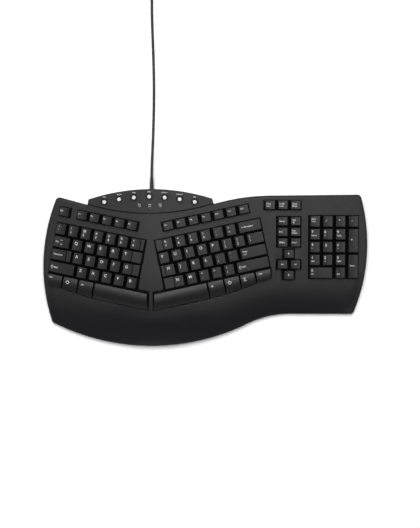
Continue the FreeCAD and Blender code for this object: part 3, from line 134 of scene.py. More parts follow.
def coil_point(turn):
    """A control point of the coil: it winds out and in, and climbs a layer where it reverses."""
    number = min(int(turn / TURNS_IN_LAYER), COIL_LAYERS - 1)
    share = turn / TURNS_IN_LAYER - number
    swing = LAYER_SWING * (0.5 - share)
    radius = COIL_RADIUS + (swing if number % 2 == 0 else -swing)
    climb = CLIMB_TURN / TURNS_IN_LAYER
    level = number
    if share < climb and number > 0:
        level = number - 0.5 + share / climb / 2
    if share > 1 - climb and number < COIL_LAYERS - 1:
        level = number + (share - 1 + climb) / climb / 2
    height = COIL_LIFT + CORD_RADIUS + level * COIL_PITCH
    if share > 1:
        height += (PLUG_Z - height) * (turn - COIL_LAYERS * TURNS_IN_LAYER) / TAIL_TURN
    angle = math.pi - 2 * math.pi * turn
    outside = radius / math.cos(math.pi / POINTS_IN_TURN)
    x = COIL_CENTRE[0] + outside * math.cos(angle)
    y = COIL_CENTRE[1] + outside * math.sin(angle)
    return (x, y, height)


turn_count = COIL_LAYERS * TURNS_IN_LAYER + TAIL_TURN
coil_points = [coil_point(i / POINTS_IN_TURN) for i in range(int(turn_count * POINTS_IN_TURN))]
tail_x = COIL_CENTRE[0] + TAIL_RADIUS
tail_back = COIL_CENTRE[1] + COIL_RADIUS + LAYER_SWING / 2 + COIL_PITCH * TAIL_TURN
plug_start = tail_back - TAIL_RADIUS - TAIL_RUN
tail_points = [
    (COIL_CENTRE[0] + TAIL_LEAD, tail_back - TAIL_EASE[0], PLUG_Z),
    (tail_x, tail_back - TAIL_EASE[1], PLUG_Z),
    (tail_x, tail_back - TAIL_RADIUS, PLUG_Z),
    (tail_x, plug_start, PLUG_Z),
]
cord_points = CORD_RUN + coil_points + tail_points
print(len(cord_points), "control points, plug starts at", round(tail_x, 2), round(plug_start, 2))

# %% [markdown]
# A NURBS spline of order 3 bends gently and stays close to its control points. The order is set
# after the points are in place, because a spline that has too few points for it falls back to
# order 2, which is straight runs. Letting it use its end points makes it start in the strain relief
# and end in the plug. The cord's thickness is the bevel's depth times each point's radius. Blender
# counts the points' radii in a curve's box, so the radius carries the real size and the depth is 1.

# %% Cord curve
cord_curve = bpy.data.curves.new("cord_line", "CURVE")
cord_curve.dimensions = "3D"
spline = cord_curve.splines.new("NURBS")
spline.points.add(len(cord_points) - 1)
for control, place in zip(spline.points, cord_points):
    control.co = (*[value * MM for value in place], 1.0)
    control.radius = CORD_RADIUS * MM
spline.order_u = 3
spline.use_endpoint_u = True
spline.resolution_u = 4
cord_curve.bevel_depth = 1.0
cord_curve.bevel_resolution = 4
cord_curve.use_fill_caps = True
cord = bpy.data.objects.new("cord_line", cord_curve)
bpy.context.collection.objects.link(cord)
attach(cord, "housing")
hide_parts("cord", "cord_coil")
bpy.context.view_layer.update()
print("the cord's box", [round(side / MM) for side in cord.dimensions], "mm")

# %% [markdown]
# ## Floor and light
# The picture is a plain studio shot on white. A big flat plane is the floor. The light is one wide
# softbox that hangs over the back of the desk, and a dim world fills the shadows. Black plastic
# shows little colour of its own: what the eye reads is the softbox mirrored in it. So flat tops
# shine grey, while the palm rest and the sides of the keys, which mirror the dim front of the room,
# stay nearly black, as in the photograph. A low ring of white backdrop stands at the floor's edge,
# for the pictures that are taken from the side.

# %% Floor, lamps and world
FLOOR_SIZE = 8.0
FLOOR_MIDDLE = (0, 0.2, 0)
BACKDROP_RADIUS = 3.8
BACKDROP_HEIGHT = 1.3
WORLD_STRENGTH = 0.22
SOFTBOX_PLACE = (-0.05, 0.7, 2.1)
SOFTBOX_AIM = (0.0, 0.1, 0.0)
SOFTBOX_SIZE = 1.6
SOFTBOX_POWER = 44.0

bpy.ops.mesh.primitive_plane_add(size=FLOOR_SIZE, location=FLOOR_MIDDLE)
floor = bpy.context.object
floor.name = "floor"
bpy.ops.mesh.primitive_cylinder_add(
    vertices=96, radius=BACKDROP_RADIUS, depth=BACKDROP_HEIGHT, end_fill_type="NOTHING",
    location=(0, FLOOR_MIDDLE[1], BACKDROP_HEIGHT / 2),
)
backdrop = bpy.context.object
backdrop.name = "backdrop"

world = bpy.data.worlds.new("studio")
world.use_nodes = True
sky = world.node_tree.nodes["Background"]
sky.inputs["Color"].default_value = (1.0, 1.0, 1.0, 1.0)
sky.inputs["Strength"].default_value = WORLD_STRENGTH
bpy.context.scene.world = world

bpy.ops.object.light_add(type="AREA", location=SOFTBOX_PLACE)
lamp = bpy.context.object
lamp.name = "overhead_softbox"
lamp.data.shape = "SQUARE"
lamp.data.size = SOFTBOX_SIZE
lamp.data.energy = SOFTBOX_POWER
direction = Vector(SOFTBOX_AIM) - Vector(SOFTBOX_PLACE)
lamp.rotation_euler = direction.to_track_quat("-Z", "Y").to_euler()
bpy.context.scene.view_settings.view_transform = "Standard"

# %% [markdown]
# ## Finishes
# Nearly all of the keyboard is moulded plastic. Real moulded plastic is never one flat colour: it
# has a fine spark-eroded grain, slightly uneven gloss, and faint clouds of lighter and darker
# material. Each of the three comes from a noise texture on Object coordinates, which keep their
# size in metres whatever the piece. The grain drives a bump, the gloss a roughness range, and the
# clouds mix two close colours.

# %% Helpers for node materials
NOISE_LOW = 0.3
NOISE_HIGH = 0.7


def add_node(tree, kind, inputs=None, **settings):
    """Adds a shader node. Each input gets a plain value or the output of another node."""
    node = tree.nodes.new("ShaderNode" + kind)
    for name, value in settings.items():
        setattr(node, name, value)
    for name, value in (inputs or {}).items():
        if isinstance(value, bpy.types.NodeSocket):
            tree.links.new(value, node.inputs[name])
        else:
            node.inputs[name].default_value = value
    return node


def new_material(name):
    """A node material, its node tree, its shader and its object coordinates."""
    material = bpy.data.materials.new(name)
    material.use_nodes = True
    tree = material.node_tree
    return material, tree, tree.nodes["Principled BSDF"], add_node(tree, "TexCoord").outputs["Object"]


def noise(tree, place, size, detail=2.0):
    """A noise texture whose features are about one size across, in metres."""
    return add_node(tree, "TexNoise", {"Vector": place, "Scale": 1.0 / size, "Detail": detail}).outputs["Fac"]


def spread(tree, value, low, high):
    """Noise lies mostly in a narrow range: this spreads it over another."""
    return add_node(tree, "MapRange", {
        "Value": value, "From Min": NOISE_LOW, "From Max": NOISE_HIGH, "To Min": low, "To Max": high,
    }).outputs["Result"]


def mixed(tree, share, first, second, blend="MIX"):
    """Two colours, mixed by a share. Each is three numbers or the output of a node."""
    first, second = [(*end, 1.0) if isinstance(end, tuple) else end for end in (first, second)]
    inputs = {"Factor": share, "A": first, "B": second}
    return add_node(tree, "Mix", inputs, data_type="RGBA", blend_type=blend).outputs["Result"]


def bumped(tree, shader, value, depth):
    """A bump on the shader, from a value and the real depth of its relief in metres."""
    node = add_node(tree, "Bump", {"Height": value, "Distance": depth, "Strength": 1.0})
    tree.links.new(node.outputs["Normal"], shader.inputs["Normal"])


print("noise is spread from", NOISE_LOW, "to", NOISE_HIGH)

# %% [markdown]
# One function makes every moulded plastic, because they differ only in a few numbers: the colour,
# how rough the surface is, how coarse and deep its grain, how strong its clouds and its gloss. A
# Principled shader with no metal in it is right for plastic.

# %% Moulded plastic
CLOUD_SIZE = 14.0
SHEEN_SIZE = 3.0


def moulded_plastic(name, colour, rough=(0.45, 0.6), grain=0.35, depth=0.02, clouds=0.08, gloss=0.5):
    """Grained plastic: a colour, its range of roughness, and its grain's size and depth in mm."""
    material, tree, shader, place = new_material(name)
    shader.inputs["Specular IOR Level"].default_value = gloss
    darker = tuple(value * (1 - clouds) for value in colour)
    lighter = tuple(value * (1 + clouds) for value in colour)
    cloud = spread(tree, noise(tree, place, CLOUD_SIZE * MM, 3.0), 0.0, 1.0)
    tree.links.new(mixed(tree, cloud, darker, lighter), shader.inputs["Base Color"])
    sheen = spread(tree, noise(tree, place, SHEEN_SIZE * MM, 4.0), *rough)
    tree.links.new(sheen, shader.inputs["Roughness"])
    bumped(tree, shader, noise(tree, place, grain * MM), depth * MM)
    return material


base_plastic = moulded_plastic("base_plastic", (0.014, 0.014, 0.015), (0.5, 0.65), 0.5, 0.03, gloss=0.35)
panel_plastic = moulded_plastic("panel_plastic", (0.015, 0.015, 0.016), (0.42, 0.55), 0.6, 0.04, gloss=0.3)
frame_plastic = moulded_plastic("frame_plastic", (0.003, 0.003, 0.003), (0.5, 0.7), 0.4, 0.01, gloss=0.12)
key_plastic = moulded_plastic("key_plastic", (0.0045, 0.0045, 0.005), (0.4, 0.5), 0.35, 0.015, gloss=0.4)
ring_plastic = moulded_plastic("ring_plastic", (0.004, 0.004, 0.004), (0.4, 0.5), 0.4, 0.01, gloss=0.2)
tie_plastic = moulded_plastic("tie_plastic", (0.010, 0.010, 0.010), (0.4, 0.5), 0.3, 0.01)
print("black plastics", base_plastic.name, panel_plastic.name, frame_plastic.name, key_plastic.name)

# %% [markdown]
# The shell's deck is a neutral grey. On the palm rest, which slopes away from the softbox, shade is
# painted into the colour: it is darker and a little bluer, on top of the shade that the light itself
# gives it. The shell will carry an attribute that tells how much painted shade each point gets, and
# its material mixes the two colours by that attribute, under the same clouds, gloss and grain as the
# other mouldings.

# %% The shell's plastic
DECK_COLOUR = (0.015, 0.015, 0.0155)
# Painted shade: the palm rest's colour is darker and a little bluer than the deck's, because it slopes away
# from the softbox.
SHADED_PALM_COLOUR = (0.004, 0.004, 0.0058)
case_plastic = moulded_plastic("case_plastic", DECK_COLOUR, (0.42, 0.52), 0.6, 0.05, gloss=0.3)
tree = case_plastic.node_tree
shader = tree.nodes["Principled BSDF"]
clouded = shader.inputs["Base Color"].links[0].from_socket
palm_shade_share = add_node(tree, "Attribute", attribute_name="palm_shade_share")
# Painted shade: the deck's clouded colour is multiplied down to the shaded palm's colour where the attribute
# says so.
palm_shade_factor = tuple(palm / deck for palm, deck in zip(SHADED_PALM_COLOUR, DECK_COLOUR))
palm_shaded_colour = mixed(tree, palm_shade_share.outputs["Fac"], clouded, palm_shade_factor, "MULTIPLY")
tree.links.new(palm_shaded_colour, shader.inputs["Base Color"])
print("palm", SHADED_PALM_COLOUR, "deck", DECK_COLOUR)

# %% [markdown]
# White parts need care: a white that is too pure clips in the light. The hotkeys are satin and the
# legends are matt ink, so they get two near-whites. Rubber is rougher than plastic, with softer
# and stronger mottling.

# %% White caps, ink, rubber
hotkey_plastic = moulded_plastic("hotkey_plastic", (0.78, 0.79, 0.8), (0.3, 0.4), 0.5, 0.005, 0.02)
legend_ink = moulded_plastic("legend_ink", (0.72, 0.73, 0.74), (0.6, 0.75), 0.2, 0.004, 0.05, 0.3)


def rubber(name, colour, rough=(0.6, 0.8)):
    """Soft rubber or cord jacket, duller than plastic."""
    return moulded_plastic(name, colour, rough, 0.8, 0.02, 0.15, 0.35)


cord_rubber = rubber("cord_rubber", (0.02, 0.02, 0.021), (0.45, 0.6))
foot_rubber = rubber("foot_rubber", (0.015, 0.015, 0.015))
dome_rubber = rubber("dome_rubber", (0.62, 0.62, 0.6))
print("whites", hotkey_plastic.name, legend_ink.name, "and", cord_rubber.name)

# %% [markdown]
# Bare steel is a metal, so its colour tints what it mirrors. Rolling and plating leave fine streaks
# on it. They come from noise that a Mapping node stretches along one axis, and they vary both the
# roughness and the colour. The board's solder mask, the film and the smoked lenses are plastics.

# %% Metal, board, film and lens
STREAK_SIZE = 0.4
STREAK_DEPTH = 0.004
STREAK_SHADE = 0.9


def sheet_metal(name, colour, rough, stretch):
    """Metal with fine streaks: noise stretched along one axis varies its roughness."""
    material, tree, shader, place = new_material(name)
    shader.inputs["Metallic"].default_value = 1.0
    mapping = add_node(tree, "Mapping", {"Vector": place, "Scale": stretch})
    streaks = noise(tree, mapping.outputs["Vector"], STREAK_SIZE * MM, 3.0)
    tree.links.new(spread(tree, streaks, *rough), shader.inputs["Roughness"])
    darker = tuple(value * STREAK_SHADE for value in colour)
    tree.links.new(mixed(tree, spread(tree, streaks, 0.0, 1.0), darker, colour), shader.inputs["Base Color"])
    bumped(tree, shader, streaks, STREAK_DEPTH * MM)
    return material


plug_steel = sheet_metal("plug_steel", (0.72, 0.72, 0.73), (0.15, 0.3), (1.0, 0.15, 1.0))
plate_steel = sheet_metal("plate_steel", (0.55, 0.56, 0.56), (0.35, 0.5), (0.1, 1.0, 1.0))
screw_steel = sheet_metal("screw_steel", (0.16, 0.16, 0.17), (0.3, 0.45), (1.0, 1.0, 1.0))
board_mask = moulded_plastic("board_mask", (0.02, 0.11, 0.05), (0.25, 0.4), 1.2, 0.02, 0.2)
printed_film = moulded_plastic("printed_film", (0.5, 0.52, 0.5), (0.15, 0.3), 2.0, 0.01, 0.12)
smoked_lens = moulded_plastic("smoked_lens", (0.006, 0.007, 0.006), (0.05, 0.12), 1.0, 0.002)
print(len(bpy.data.materials), "materials so far")

# %% [markdown]
# The paper of the floor is white, but it must also look white where the softbox falls off. Light
# Path tells which rays come straight from the camera, from a mirror or through glass, and for those
# the paper's colour is raised a little. Further out, where no shadow falls, it fades to plain white.
# The light that the paper sheds on the keyboard stays as it was.

# %% Floor finish
FIBRE_SIZE = 0.4
PLAIN_PAPER = (0.93, 0.95)
RAISED_PAPER = (1.25, 1.27)
FADE_TO_WHITE = (0.6, 1.0)


def combined(tree, operation, first, second):
    """Two values put through one sum."""
    return add_node(tree, "Math", {0: first, 1: second}, operation=operation).outputs["Value"]


def seen_directly(tree):
    """1 for rays from the camera, from a mirror or through glass, and 0 for all others."""
    ray = add_node(tree, "LightPath")
    direct = ray.outputs["Is Camera Ray"]
    for kind in ("Is Glossy Ray", "Is Transmission Ray"):
        direct = combined(tree, "MAXIMUM", direct, ray.outputs[kind])
    return direct


def stage_material(piece, name):
    """A new material on a stage piece, with no shader in it yet. Gives its node tree."""
    material = bpy.data.materials.new(name)
    material.use_nodes = True
    material.node_tree.nodes.remove(material.node_tree.nodes["Principled BSDF"])
    piece.data.materials.append(material)
    return material.node_tree


def white_where(tree, share, otherwise):
    """Ends a material: shining white where a share is 1, and another shader where it is 0."""
    white = add_node(tree, "Emission").outputs["Emission"]
    surface = add_node(tree, "MixShader", {"Fac": share, 1: otherwise, 2: white})
    tree.links.new(surface.outputs["Shader"], tree.nodes["Material Output"].inputs["Surface"])


tree = stage_material(floor, "floor_paper")
place = add_node(tree, "TexCoord").outputs["Object"]
fibres = spread(tree, noise(tree, place, FIBRE_SIZE), 0.0, 1.0)
plain, raised = [
    mixed(tree, fibres, (darker,) * 3, (lighter,) * 3) for darker, lighter in (PLAIN_PAPER, RAISED_PAPER)
]
direct = seen_directly(tree)
paper = add_node(tree, "BsdfDiffuse", {"Color": mixed(tree, direct, plain, raised)})
distance = add_node(tree, "VectorMath", {0: place}, operation="LENGTH")
far = add_node(tree, "MapRange", {
    "Value": distance.outputs["Value"], "From Min": FADE_TO_WHITE[0], "From Max": FADE_TO_WHITE[1],
})
share = combined(tree, "MULTIPLY", far.outputs["Result"], direct)
white_where(tree, share, paper.outputs["BSDF"])
print("the floor fades to white between", FADE_TO_WHITE[0], "and", FADE_TO_WHITE[1], "m from its middle")

# %% [markdown]
# The backdrop is seen, but it sheds and stops no light. To the eye, to a mirror and through glass it
# is plain white, and to every other ray it is transparent.

# %% Backdrop finish
tree = stage_material(backdrop, "backdrop_paper")
clear = add_node(tree, "BsdfTransparent")
white_where(tree, seen_directly(tree), clear.outputs["BSDF"])
print("stage pieces", floor.name, "and", backdrop.name)

# %% [markdown]
# ## Pieces that keep their CAD shape
# Where a CAD node already has the right shape, it only needs its finish: the material goes into the
# node's own slots. Its mesh is left alone.

# %% Finish on the CAD nodes
def finish_node(node, material):
    """Gives a CAD node one material in every slot."""
    target = frame["nodes"][node]
    if not target.material_slots:
        target.data.materials.append(material)
    for slot in target.material_slots:
        slot.material = material


CAD_FINISHES = {
    "bottom_case": base_plastic,
    "left_key_frame": frame_plastic,
    "right_key_frame": frame_plastic,
    "side_key_frame": frame_plastic,
    "membranes": printed_film,
    "hotkey_strip": printed_film,
    "backing_plates": plate_steel,
    "controller_board": board_mask,
}
for node, material in CAD_FINISHES.items():
    finish_node(node, material)
cord_curve.materials.append(cord_rubber)
print("finished", len(CAD_FINISHES), "CAD nodes")

# %% [markdown]
# ## Softened copies
# A CAD solid has knife edges, and no moulding does. The cure is a copy: its loose triangles are
# merged into a closed skin, flat neighbours are dissolved into whole faces, and a Bevel modifier
# rounds every edge that turns by more than 30 degrees. Rounded edges catch a thin line of light,
# and that line is most of what makes a keycap look real.
#
# Smooth shading over long thin triangles gives smudges. The Weighted Normal modifier cures them: it
# lets large flat faces decide, so that flats look flat and only the small faces of a rounding blend.

# %% Helpers that select, copy and soften
MERGE_DISTANCE = 0.002
FLAT_ANGLE = 1.0
SHARP_ANGLE = 30.0
SMOOTH_ANGLE = 40.0


def only(piece):
    """Selects one object and nothing else."""
    bpy.ops.object.select_all(action="DESELECT")
    piece.select_set(True)
    bpy.context.view_layer.objects.active = piece


def in_edit_mode(piece, *steps):
    """Runs edit steps on all of a piece's mesh."""
    only(piece)
    bpy.ops.object.mode_set(mode="EDIT")
    bpy.ops.mesh.select_all(action="SELECT")
    for step in steps:
        step()
    bpy.ops.object.mode_set(mode="OBJECT")


def merge():
    bpy.ops.mesh.remove_doubles(threshold=MERGE_DISTANCE * MM)


def dissolve_flats():
    bpy.ops.mesh.dissolve_limited(angle_limit=math.radians(FLAT_ANGLE))


def face_outwards():
    bpy.ops.mesh.normals_make_consistent(inside=False)


def shade_evenly(piece, angle=SMOOTH_ANGLE):
    """Smooth shading below an angle, with large faces kept flat."""
    only(piece)
    bpy.ops.object.shade_smooth_by_angle(angle=math.radians(angle))
    even = piece.modifiers.new("even_shading", "WEIGHTED_NORMAL")
    even.keep_sharp = True
    bpy.ops.object.modifier_apply(modifier=even.name)


def round_edges(piece, width, segments=3):
    """Rounds a piece's sharp edges by a width in millimetres, and smooths its shading."""
    only(piece)
    bevel = piece.modifiers.new("rounding", "BEVEL")
    bevel.width = width * MM
    bevel.segments = segments
    bevel.limit_method = "ANGLE"
    bevel.angle_limit = math.radians(SHARP_ANGLE)
    bevel.use_clamp_overlap = True
    bpy.ops.object.modifier_apply(modifier=bevel.name)
    shade_evenly(piece)


def dress(piece, material, body, slot=None, *nodes):
    """Gives a finished piece its material and its body, and hides the nodes that it stands for. The slot is
    not used.
    """
    piece.data.materials.clear()
    piece.data.materials.append(material)
    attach(piece, body)
    if nodes:
        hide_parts(*nodes)
    return piece


def copy_of_node(node, name):
    """A copy of a CAD node, as an object of its own."""
    mesh = frame["nodes"][node].data.copy()
    mesh.name = name
    piece = bpy.data.objects.new(name, mesh)
    bpy.context.collection.objects.link(piece)
    return piece


def softened(node, name, width, segments=3):
    """A merged copy of a CAD node with rounded edges."""
    piece = copy_of_node(node, name)
    in_edit_mode(piece, merge, dissolve_flats)
    round_edges(piece, width, segments)
    return piece


print("edges that turn by more than", SHARP_ANGLE, "degrees will be rounded")

# %% [markdown]
# ## The upper shell
# The real shell is one moulding whose deck rolls over into the palm rest with no line between them.
# In the CAD model the two meet in a faint crease. So the shell gets a copy whose skin is cut into a
# fine grid round the palm rest, with Bisect, and whose grid points are then set on one smooth
# surface: the deck's plane and the palm's arc, melted together where they come close.

# %% The deck and the palm's arc as formulas
RIDGE_X = -76.0
RIDGE_HEIGHT = 37.5
RIDGE_RADIUS = 250.0
BEND_X = 84.0
BEND_RADIUS = 500.0
LEFT_TILT = 6.5
RIGHT_TILT = -4.5
SIDE_TILT = -2.5
DECK_SLOPE = 3.0
CREASE_TURN = 5.0
MELT = 2.4
JUST_INSIDE = 0.01

# Across the palm rest: X, the crease's Y, the front edge's Y, and the front edge's height.
PALM_SECTIONS = [
    (-252.0, -22.0, -76.0, 9.0),
    (-215.0, -33.0, -89.0, 10.0),
    (-165.0, -49.0, -105.5, 11.0),
    (-120.0, -61.5, -114.0, 12.0),
    (-79.0, -67.4, -116.6, 13.0),
    (-34.0, -62.5, -113.5, 13.0),
    (4.0, -53.0, -105.8, 12.5),
    (43.0, -40.0, -92.5, 11.5),
    (75.0, -28.5, -78.5, 10.5),
    (105.0, -22.2, -70.5, 9.5),
    (150.0, -21.4, -68.6, 9.0),
    (252.0, -21.4, -68.6, 8.5),
]


def tangent(degrees):
    return math.tan(math.radians(degrees))


def eased(share):
    """A share held between 0 and 1, with a gentle start and end."""
    share = min(max(share, 0.0), 1.0)
    return share * share * (3 - 2 * share)


def rounded_turn(x, middle, left, right, radius):
    """How far a rounding of a radius lies below the meeting of two slopes."""
    reach = radius * abs(tangent(left) - tangent(right)) / 2
    return max(reach - abs(x - middle), 0.0) ** 2 / (2 * radius)


def deck_height(x, y):
    """The rounded deck's height at a place in plan, in millimetres."""
    height = RIDGE_HEIGHT + y * tangent(DECK_SLOPE)
    if x < RIDGE_X:
        height += (x - RIDGE_X) * tangent(LEFT_TILT)
    else:
        height += (min(x, BEND_X) - RIDGE_X) * tangent(RIGHT_TILT) + max(x - BEND_X, 0) * tangent(SIDE_TILT)
    height -= rounded_turn(x, RIDGE_X, LEFT_TILT, RIGHT_TILT, RIDGE_RADIUS)
    return height + rounded_turn(x, BEND_X, RIGHT_TILT, SIDE_TILT, BEND_RADIUS)


def palm_values(x):
    """The crease's Y, the front edge's Y and its height, on a smooth curve through the sections."""
    x = min(max(x, PALM_SECTIONS[1][0]), PALM_SECTIONS[-2][0] - JUST_INSIDE)
    i = max(k for k, section in enumerate(PALM_SECTIONS) if section[0] <= x)
    around = [PALM_SECTIONS[k] for k in range(i - 1, i + 3)]
    span = around[2][0] - around[1][0]
    t = (x - around[1][0]) / span
    values = []
    for k in (1, 2, 3):
        before, start, end, after = (section[k] for section in around)
        leave = (end - before) / (around[2][0] - around[0][0]) * span
        arrive = (after - start) / (around[3][0] - around[1][0]) * span
        values.append(
            (2 * t ** 3 - 3 * t ** 2 + 1) * start + (t ** 3 - 2 * t ** 2 + t) * leave
            + (3 * t ** 2 - 2 * t ** 3) * end + (t ** 3 - t ** 2) * arrive
        )
    return values


def palm_height(x, y):
    """The palm rest's arc from the crease down to the front edge, and its tangent behind it."""
    crease_y, front_y, front_height = palm_values(x)
    crease_height = deck_height(x, crease_y)
    rise = crease_height - front_height
    start = math.radians(DECK_SLOPE + CREASE_TURN)
    if y > crease_y:
        return crease_height + (y - crease_y) * math.tan(start)
    steepness = math.atan2(rise, crease_y - front_y)
    radius = math.hypot(crease_y - front_y, rise) / 2 / math.sin(steepness - start)
    run = y - crease_y - radius * math.sin(start)
    return crease_height - radius * math.cos(start) + math.sqrt(max(radius ** 2 - run ** 2, 0.0))


def melted_height(x, y):
    """The deck and the palm's arc, melted together where they come within a distance."""
    deck, palm = deck_height(x, y), palm_height(x, y)
    share = min(max(0.5 + (palm - deck) / (2 * MELT), 0.0), 1.0)
    return deck * share + palm * (1 - share) - MELT * share * (1 - share)


print("waist", round(deck_height(RIDGE_X, -60), 2), round(melted_height(RIDGE_X, -60), 2))

# %% [markdown]
# CAD triangles are long and thin, and a surface made of them can't be bent. So the faces of the
# palm's skin are picked by their place and normal, the rest is hidden, and Bisect cuts what is left
# by planes 4 mm apart, first across X and then across Y. Hidden faces stay whole.

# %% Cut the palm's skin into a grid
GRID = 4.0
PALM_BACK = 12.0
STEEPEST = 0.6
NEAR_DECK = 1.2
NEAR_PALM = 2.5
AXES = (Vector((1, 0, 0)), Vector((0, 1, 0)))


def is_palm_skin(face):
    """Whether a face is part of the shell's outer skin round the palm rest."""
    x, y, z = face.center / MM
    if face.normal.z < STEEPEST or y > PALM_BACK:
        return False
    return abs(z - deck_height(x, y)) < NEAR_DECK or abs(z - palm_height(x, y)) < NEAR_PALM


def show_only(piece, wanted):
    """Opens a piece in edit mode with all faces hidden but those that a test accepts."""
    only(piece)
    bpy.ops.object.mode_set(mode="EDIT")
    bpy.ops.mesh.select_mode(type="FACE")
    bpy.ops.mesh.select_all(action="DESELECT")
    bpy.ops.object.mode_set(mode="OBJECT")
    for face in piece.data.polygons:
        face.select = wanted(face)
    bpy.ops.object.mode_set(mode="EDIT")
    bpy.ops.mesh.hide(unselected=True)


def cut_grid(axis, first, last):
    """Cuts the faces in view by planes square to an axis, a grid step apart."""
    place = math.ceil(first / MM / GRID) * GRID
    while place < last / MM:
        at = Vector((0, 0, 0))
        at[axis] = place * MM
        bpy.ops.mesh.select_all(action="SELECT")
        bpy.ops.mesh.bisect(plane_co=at, plane_no=AXES[axis])
        place += GRID


shell = copy_of_node("top_case", "upper_shell")
in_edit_mode(shell, merge)
low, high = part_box("top_case")
show_only(shell, is_palm_skin)
cut_grid(0, low.x, high.x)
cut_grid(1, low.y, PALM_BACK * MM)
bpy.ops.mesh.reveal(select=False)
bpy.ops.object.mode_set(mode="OBJECT")
print("the shell has", len(shell.data.polygons), "faces now")

# %% [markdown]
# The grid points are set on the melted surface. Close to the shell's outline they keep the CAD
# model's own rounded edge, so the move fades in from 4 to 12 mm inside the outline. The outline is
# found as the vertices at the height of the parting line. The shell's screw bosses end there too,
# so the vertices round a screw are left out.

# %% Set the palm's skin on the smooth surface
PARTING_HEIGHT = 6.0
BOSS_REACH = 6.0
EDGE_KEPT = 4.0
EDGE_FADE = 8.0
LARGEST_MOVE = 1.5
RIM_BAND = 0.05
SCREWS = [
    (-205.0, -58.0), (-120.0, -92.0), (10.0, -78.0), (200.0, -42.0),
    (222.0, 96.0), (78.0, 96.0), (-20.0, 93.0), (-150.0, 92.0),
]


def near_screw(place):
    """Whether a place lies in a screw's boss."""
    return any(math.hypot(place.x / MM - x, place.y / MM - y) < BOSS_REACH for x, y in SCREWS)


rim = [vertex.co for vertex in shell.data.vertices if abs(vertex.co.z / MM - PARTING_HEIGHT) < RIM_BAND]
rim = [place for place in rim if not near_screw(place)]
outline = kdtree.KDTree(len(rim))
for i, place in enumerate(rim):
    outline.insert((place.x, place.y, 0), i)
outline.balance()
skin = {i for face in shell.data.polygons if is_palm_skin(face) for i in face.vertices}
largest = 0.0
for i in skin:
    vertex = shell.data.vertices[i]
    x, y, z = vertex.co / MM
    inside = outline.find((vertex.co.x, vertex.co.y, 0))[2] / MM
    rise = (melted_height(x, y) - z) * eased((inside - EDGE_KEPT) / EDGE_FADE)
    if abs(rise) < LARGEST_MOVE:
        vertex.co.z += rise * MM
        largest = max(largest, abs(rise))
print(len(skin), "grid points, moved by", round(largest, 2), "mm at most")

# %% [markdown]
# The shell's shading is evened out in the same way as that of the rounded copies. The painted shade
# of the palm rest fades in over 45 mm. Between the space bars it already starts on the deck, and at
# both sides it starts a good way down the palm rest.

# %% Smooth the shell's shading and paint shade on its palm rest
PALM_SHADE_START = 5.0
PALM_SHADE_LENGTH = 45.0
PALM_SHADE_RISE = 65.0
PALM_SHADE_WIDTH = 60.0
SHELL_ANGLE = 32.0

# Each point's share of the painted shade: full on the palm rest, fading out behind the crease.
share = shell.data.attributes.new("palm_shade_share", "FLOAT", "POINT")
for vertex, value in zip(shell.data.vertices, share.data):
    x, y, z = vertex.co / MM
    behind = y - palm_values(x)[0]
    start = PALM_SHADE_START + PALM_SHADE_RISE * math.exp(-((x - RIDGE_X) / PALM_SHADE_WIDTH) ** 2)
    value.value = eased((start - behind) / PALM_SHADE_LENGTH)
print("palm rest:", sum(value.value > 0.5 for value in share.data), "of", len(share.data), "points")
shade_evenly(shell, SHELL_ANGLE)
dress(shell, case_plastic, "housing", "case_plastic", "top_case")

# %% [markdown]
# The pod's panel lies in a rebate of the shell. Its rounded edge leaves a dark groove round it.

# %% Pod panel
ROUNDING = 0.6
pod_panel = softened("media_panel", "pod_panel", ROUNDING)
dress(pod_panel, panel_plastic, "housing", "panel_plastic", "media_panel")
print("the panel has", len(pod_panel.data.polygons), "faces")

# %% [markdown]
# The keycaps are treated like the panel. Their edges get the same rounding of 0.6 mm, as on real
# moulded caps. Each bank of caps is one piece that rides on the body of its own node.

# %% Keycaps
KEY_NODES = sorted(body for body in frame["bodies"] if body.endswith(("_key", "_keys")))
caps = {}
for node in KEY_NODES:
    cap = softened(node, node + "_caps", ROUNDING)
    caps[node] = dress(cap, key_plastic, node, "key_plastic", node)
print(len(caps), "banks of caps,", sum(len(cap.data.polygons) for cap in caps.values()), "faces")

# %% [markdown]
# ## Legends
# Each cap carries a white printed legend in its upper left corner. A legend is a text object with a
# hair of thickness, turned into a mesh. The caps lie on three planes that are turned and tilted, so
# each plane has its own three directions: along its rows, back, and square to it. A cap's own corner
# is found from its mesh, and each point of the legend is then dropped onto the cap by a ray, so the
# print follows the dish of the key.

# %% The three key planes
LEFT_YAW = -11.5
RIGHT_YAW = 12.4


def key_directions(yaw, tilt):
    """Along the rows, towards the back, and square to a plane of keys."""
    across = tangent(tilt)
    up = tangent(DECK_SLOPE)
    normal = Vector((-across, -up, 1.0)).normalized()
    turn = math.radians(yaw)
    level = Vector((math.cos(turn), math.sin(turn), 0.0))
    along = Vector((level.x, level.y, across * level.x + up * level.y)).normalized()
    return along, normal.cross(along), normal


LEFT_PLANE = key_directions(LEFT_YAW, LEFT_TILT)
RIGHT_PLANE = key_directions(RIGHT_YAW, RIGHT_TILT)
SIDE_PLANE = key_directions(0.0, SIDE_TILT)
PLANES = (LEFT_PLANE, RIGHT_PLANE, SIDE_PLANE)
print("the planes' normals", [[round(value, 3) for value in plane[2]] for plane in PLANES])

# %% [markdown]
# A bank is one mesh of several caps. To find the single caps, the mesh is walked from vertex to
# vertex along its edges: what can be reached from one vertex is one cap. Its points within 1.3 mm
# of the highest one are its top, and the left back corner of that is where the legend starts.

# %% Find each cap's top
TOP_DEPTH = 1.3
ROW_STEP = 9.0


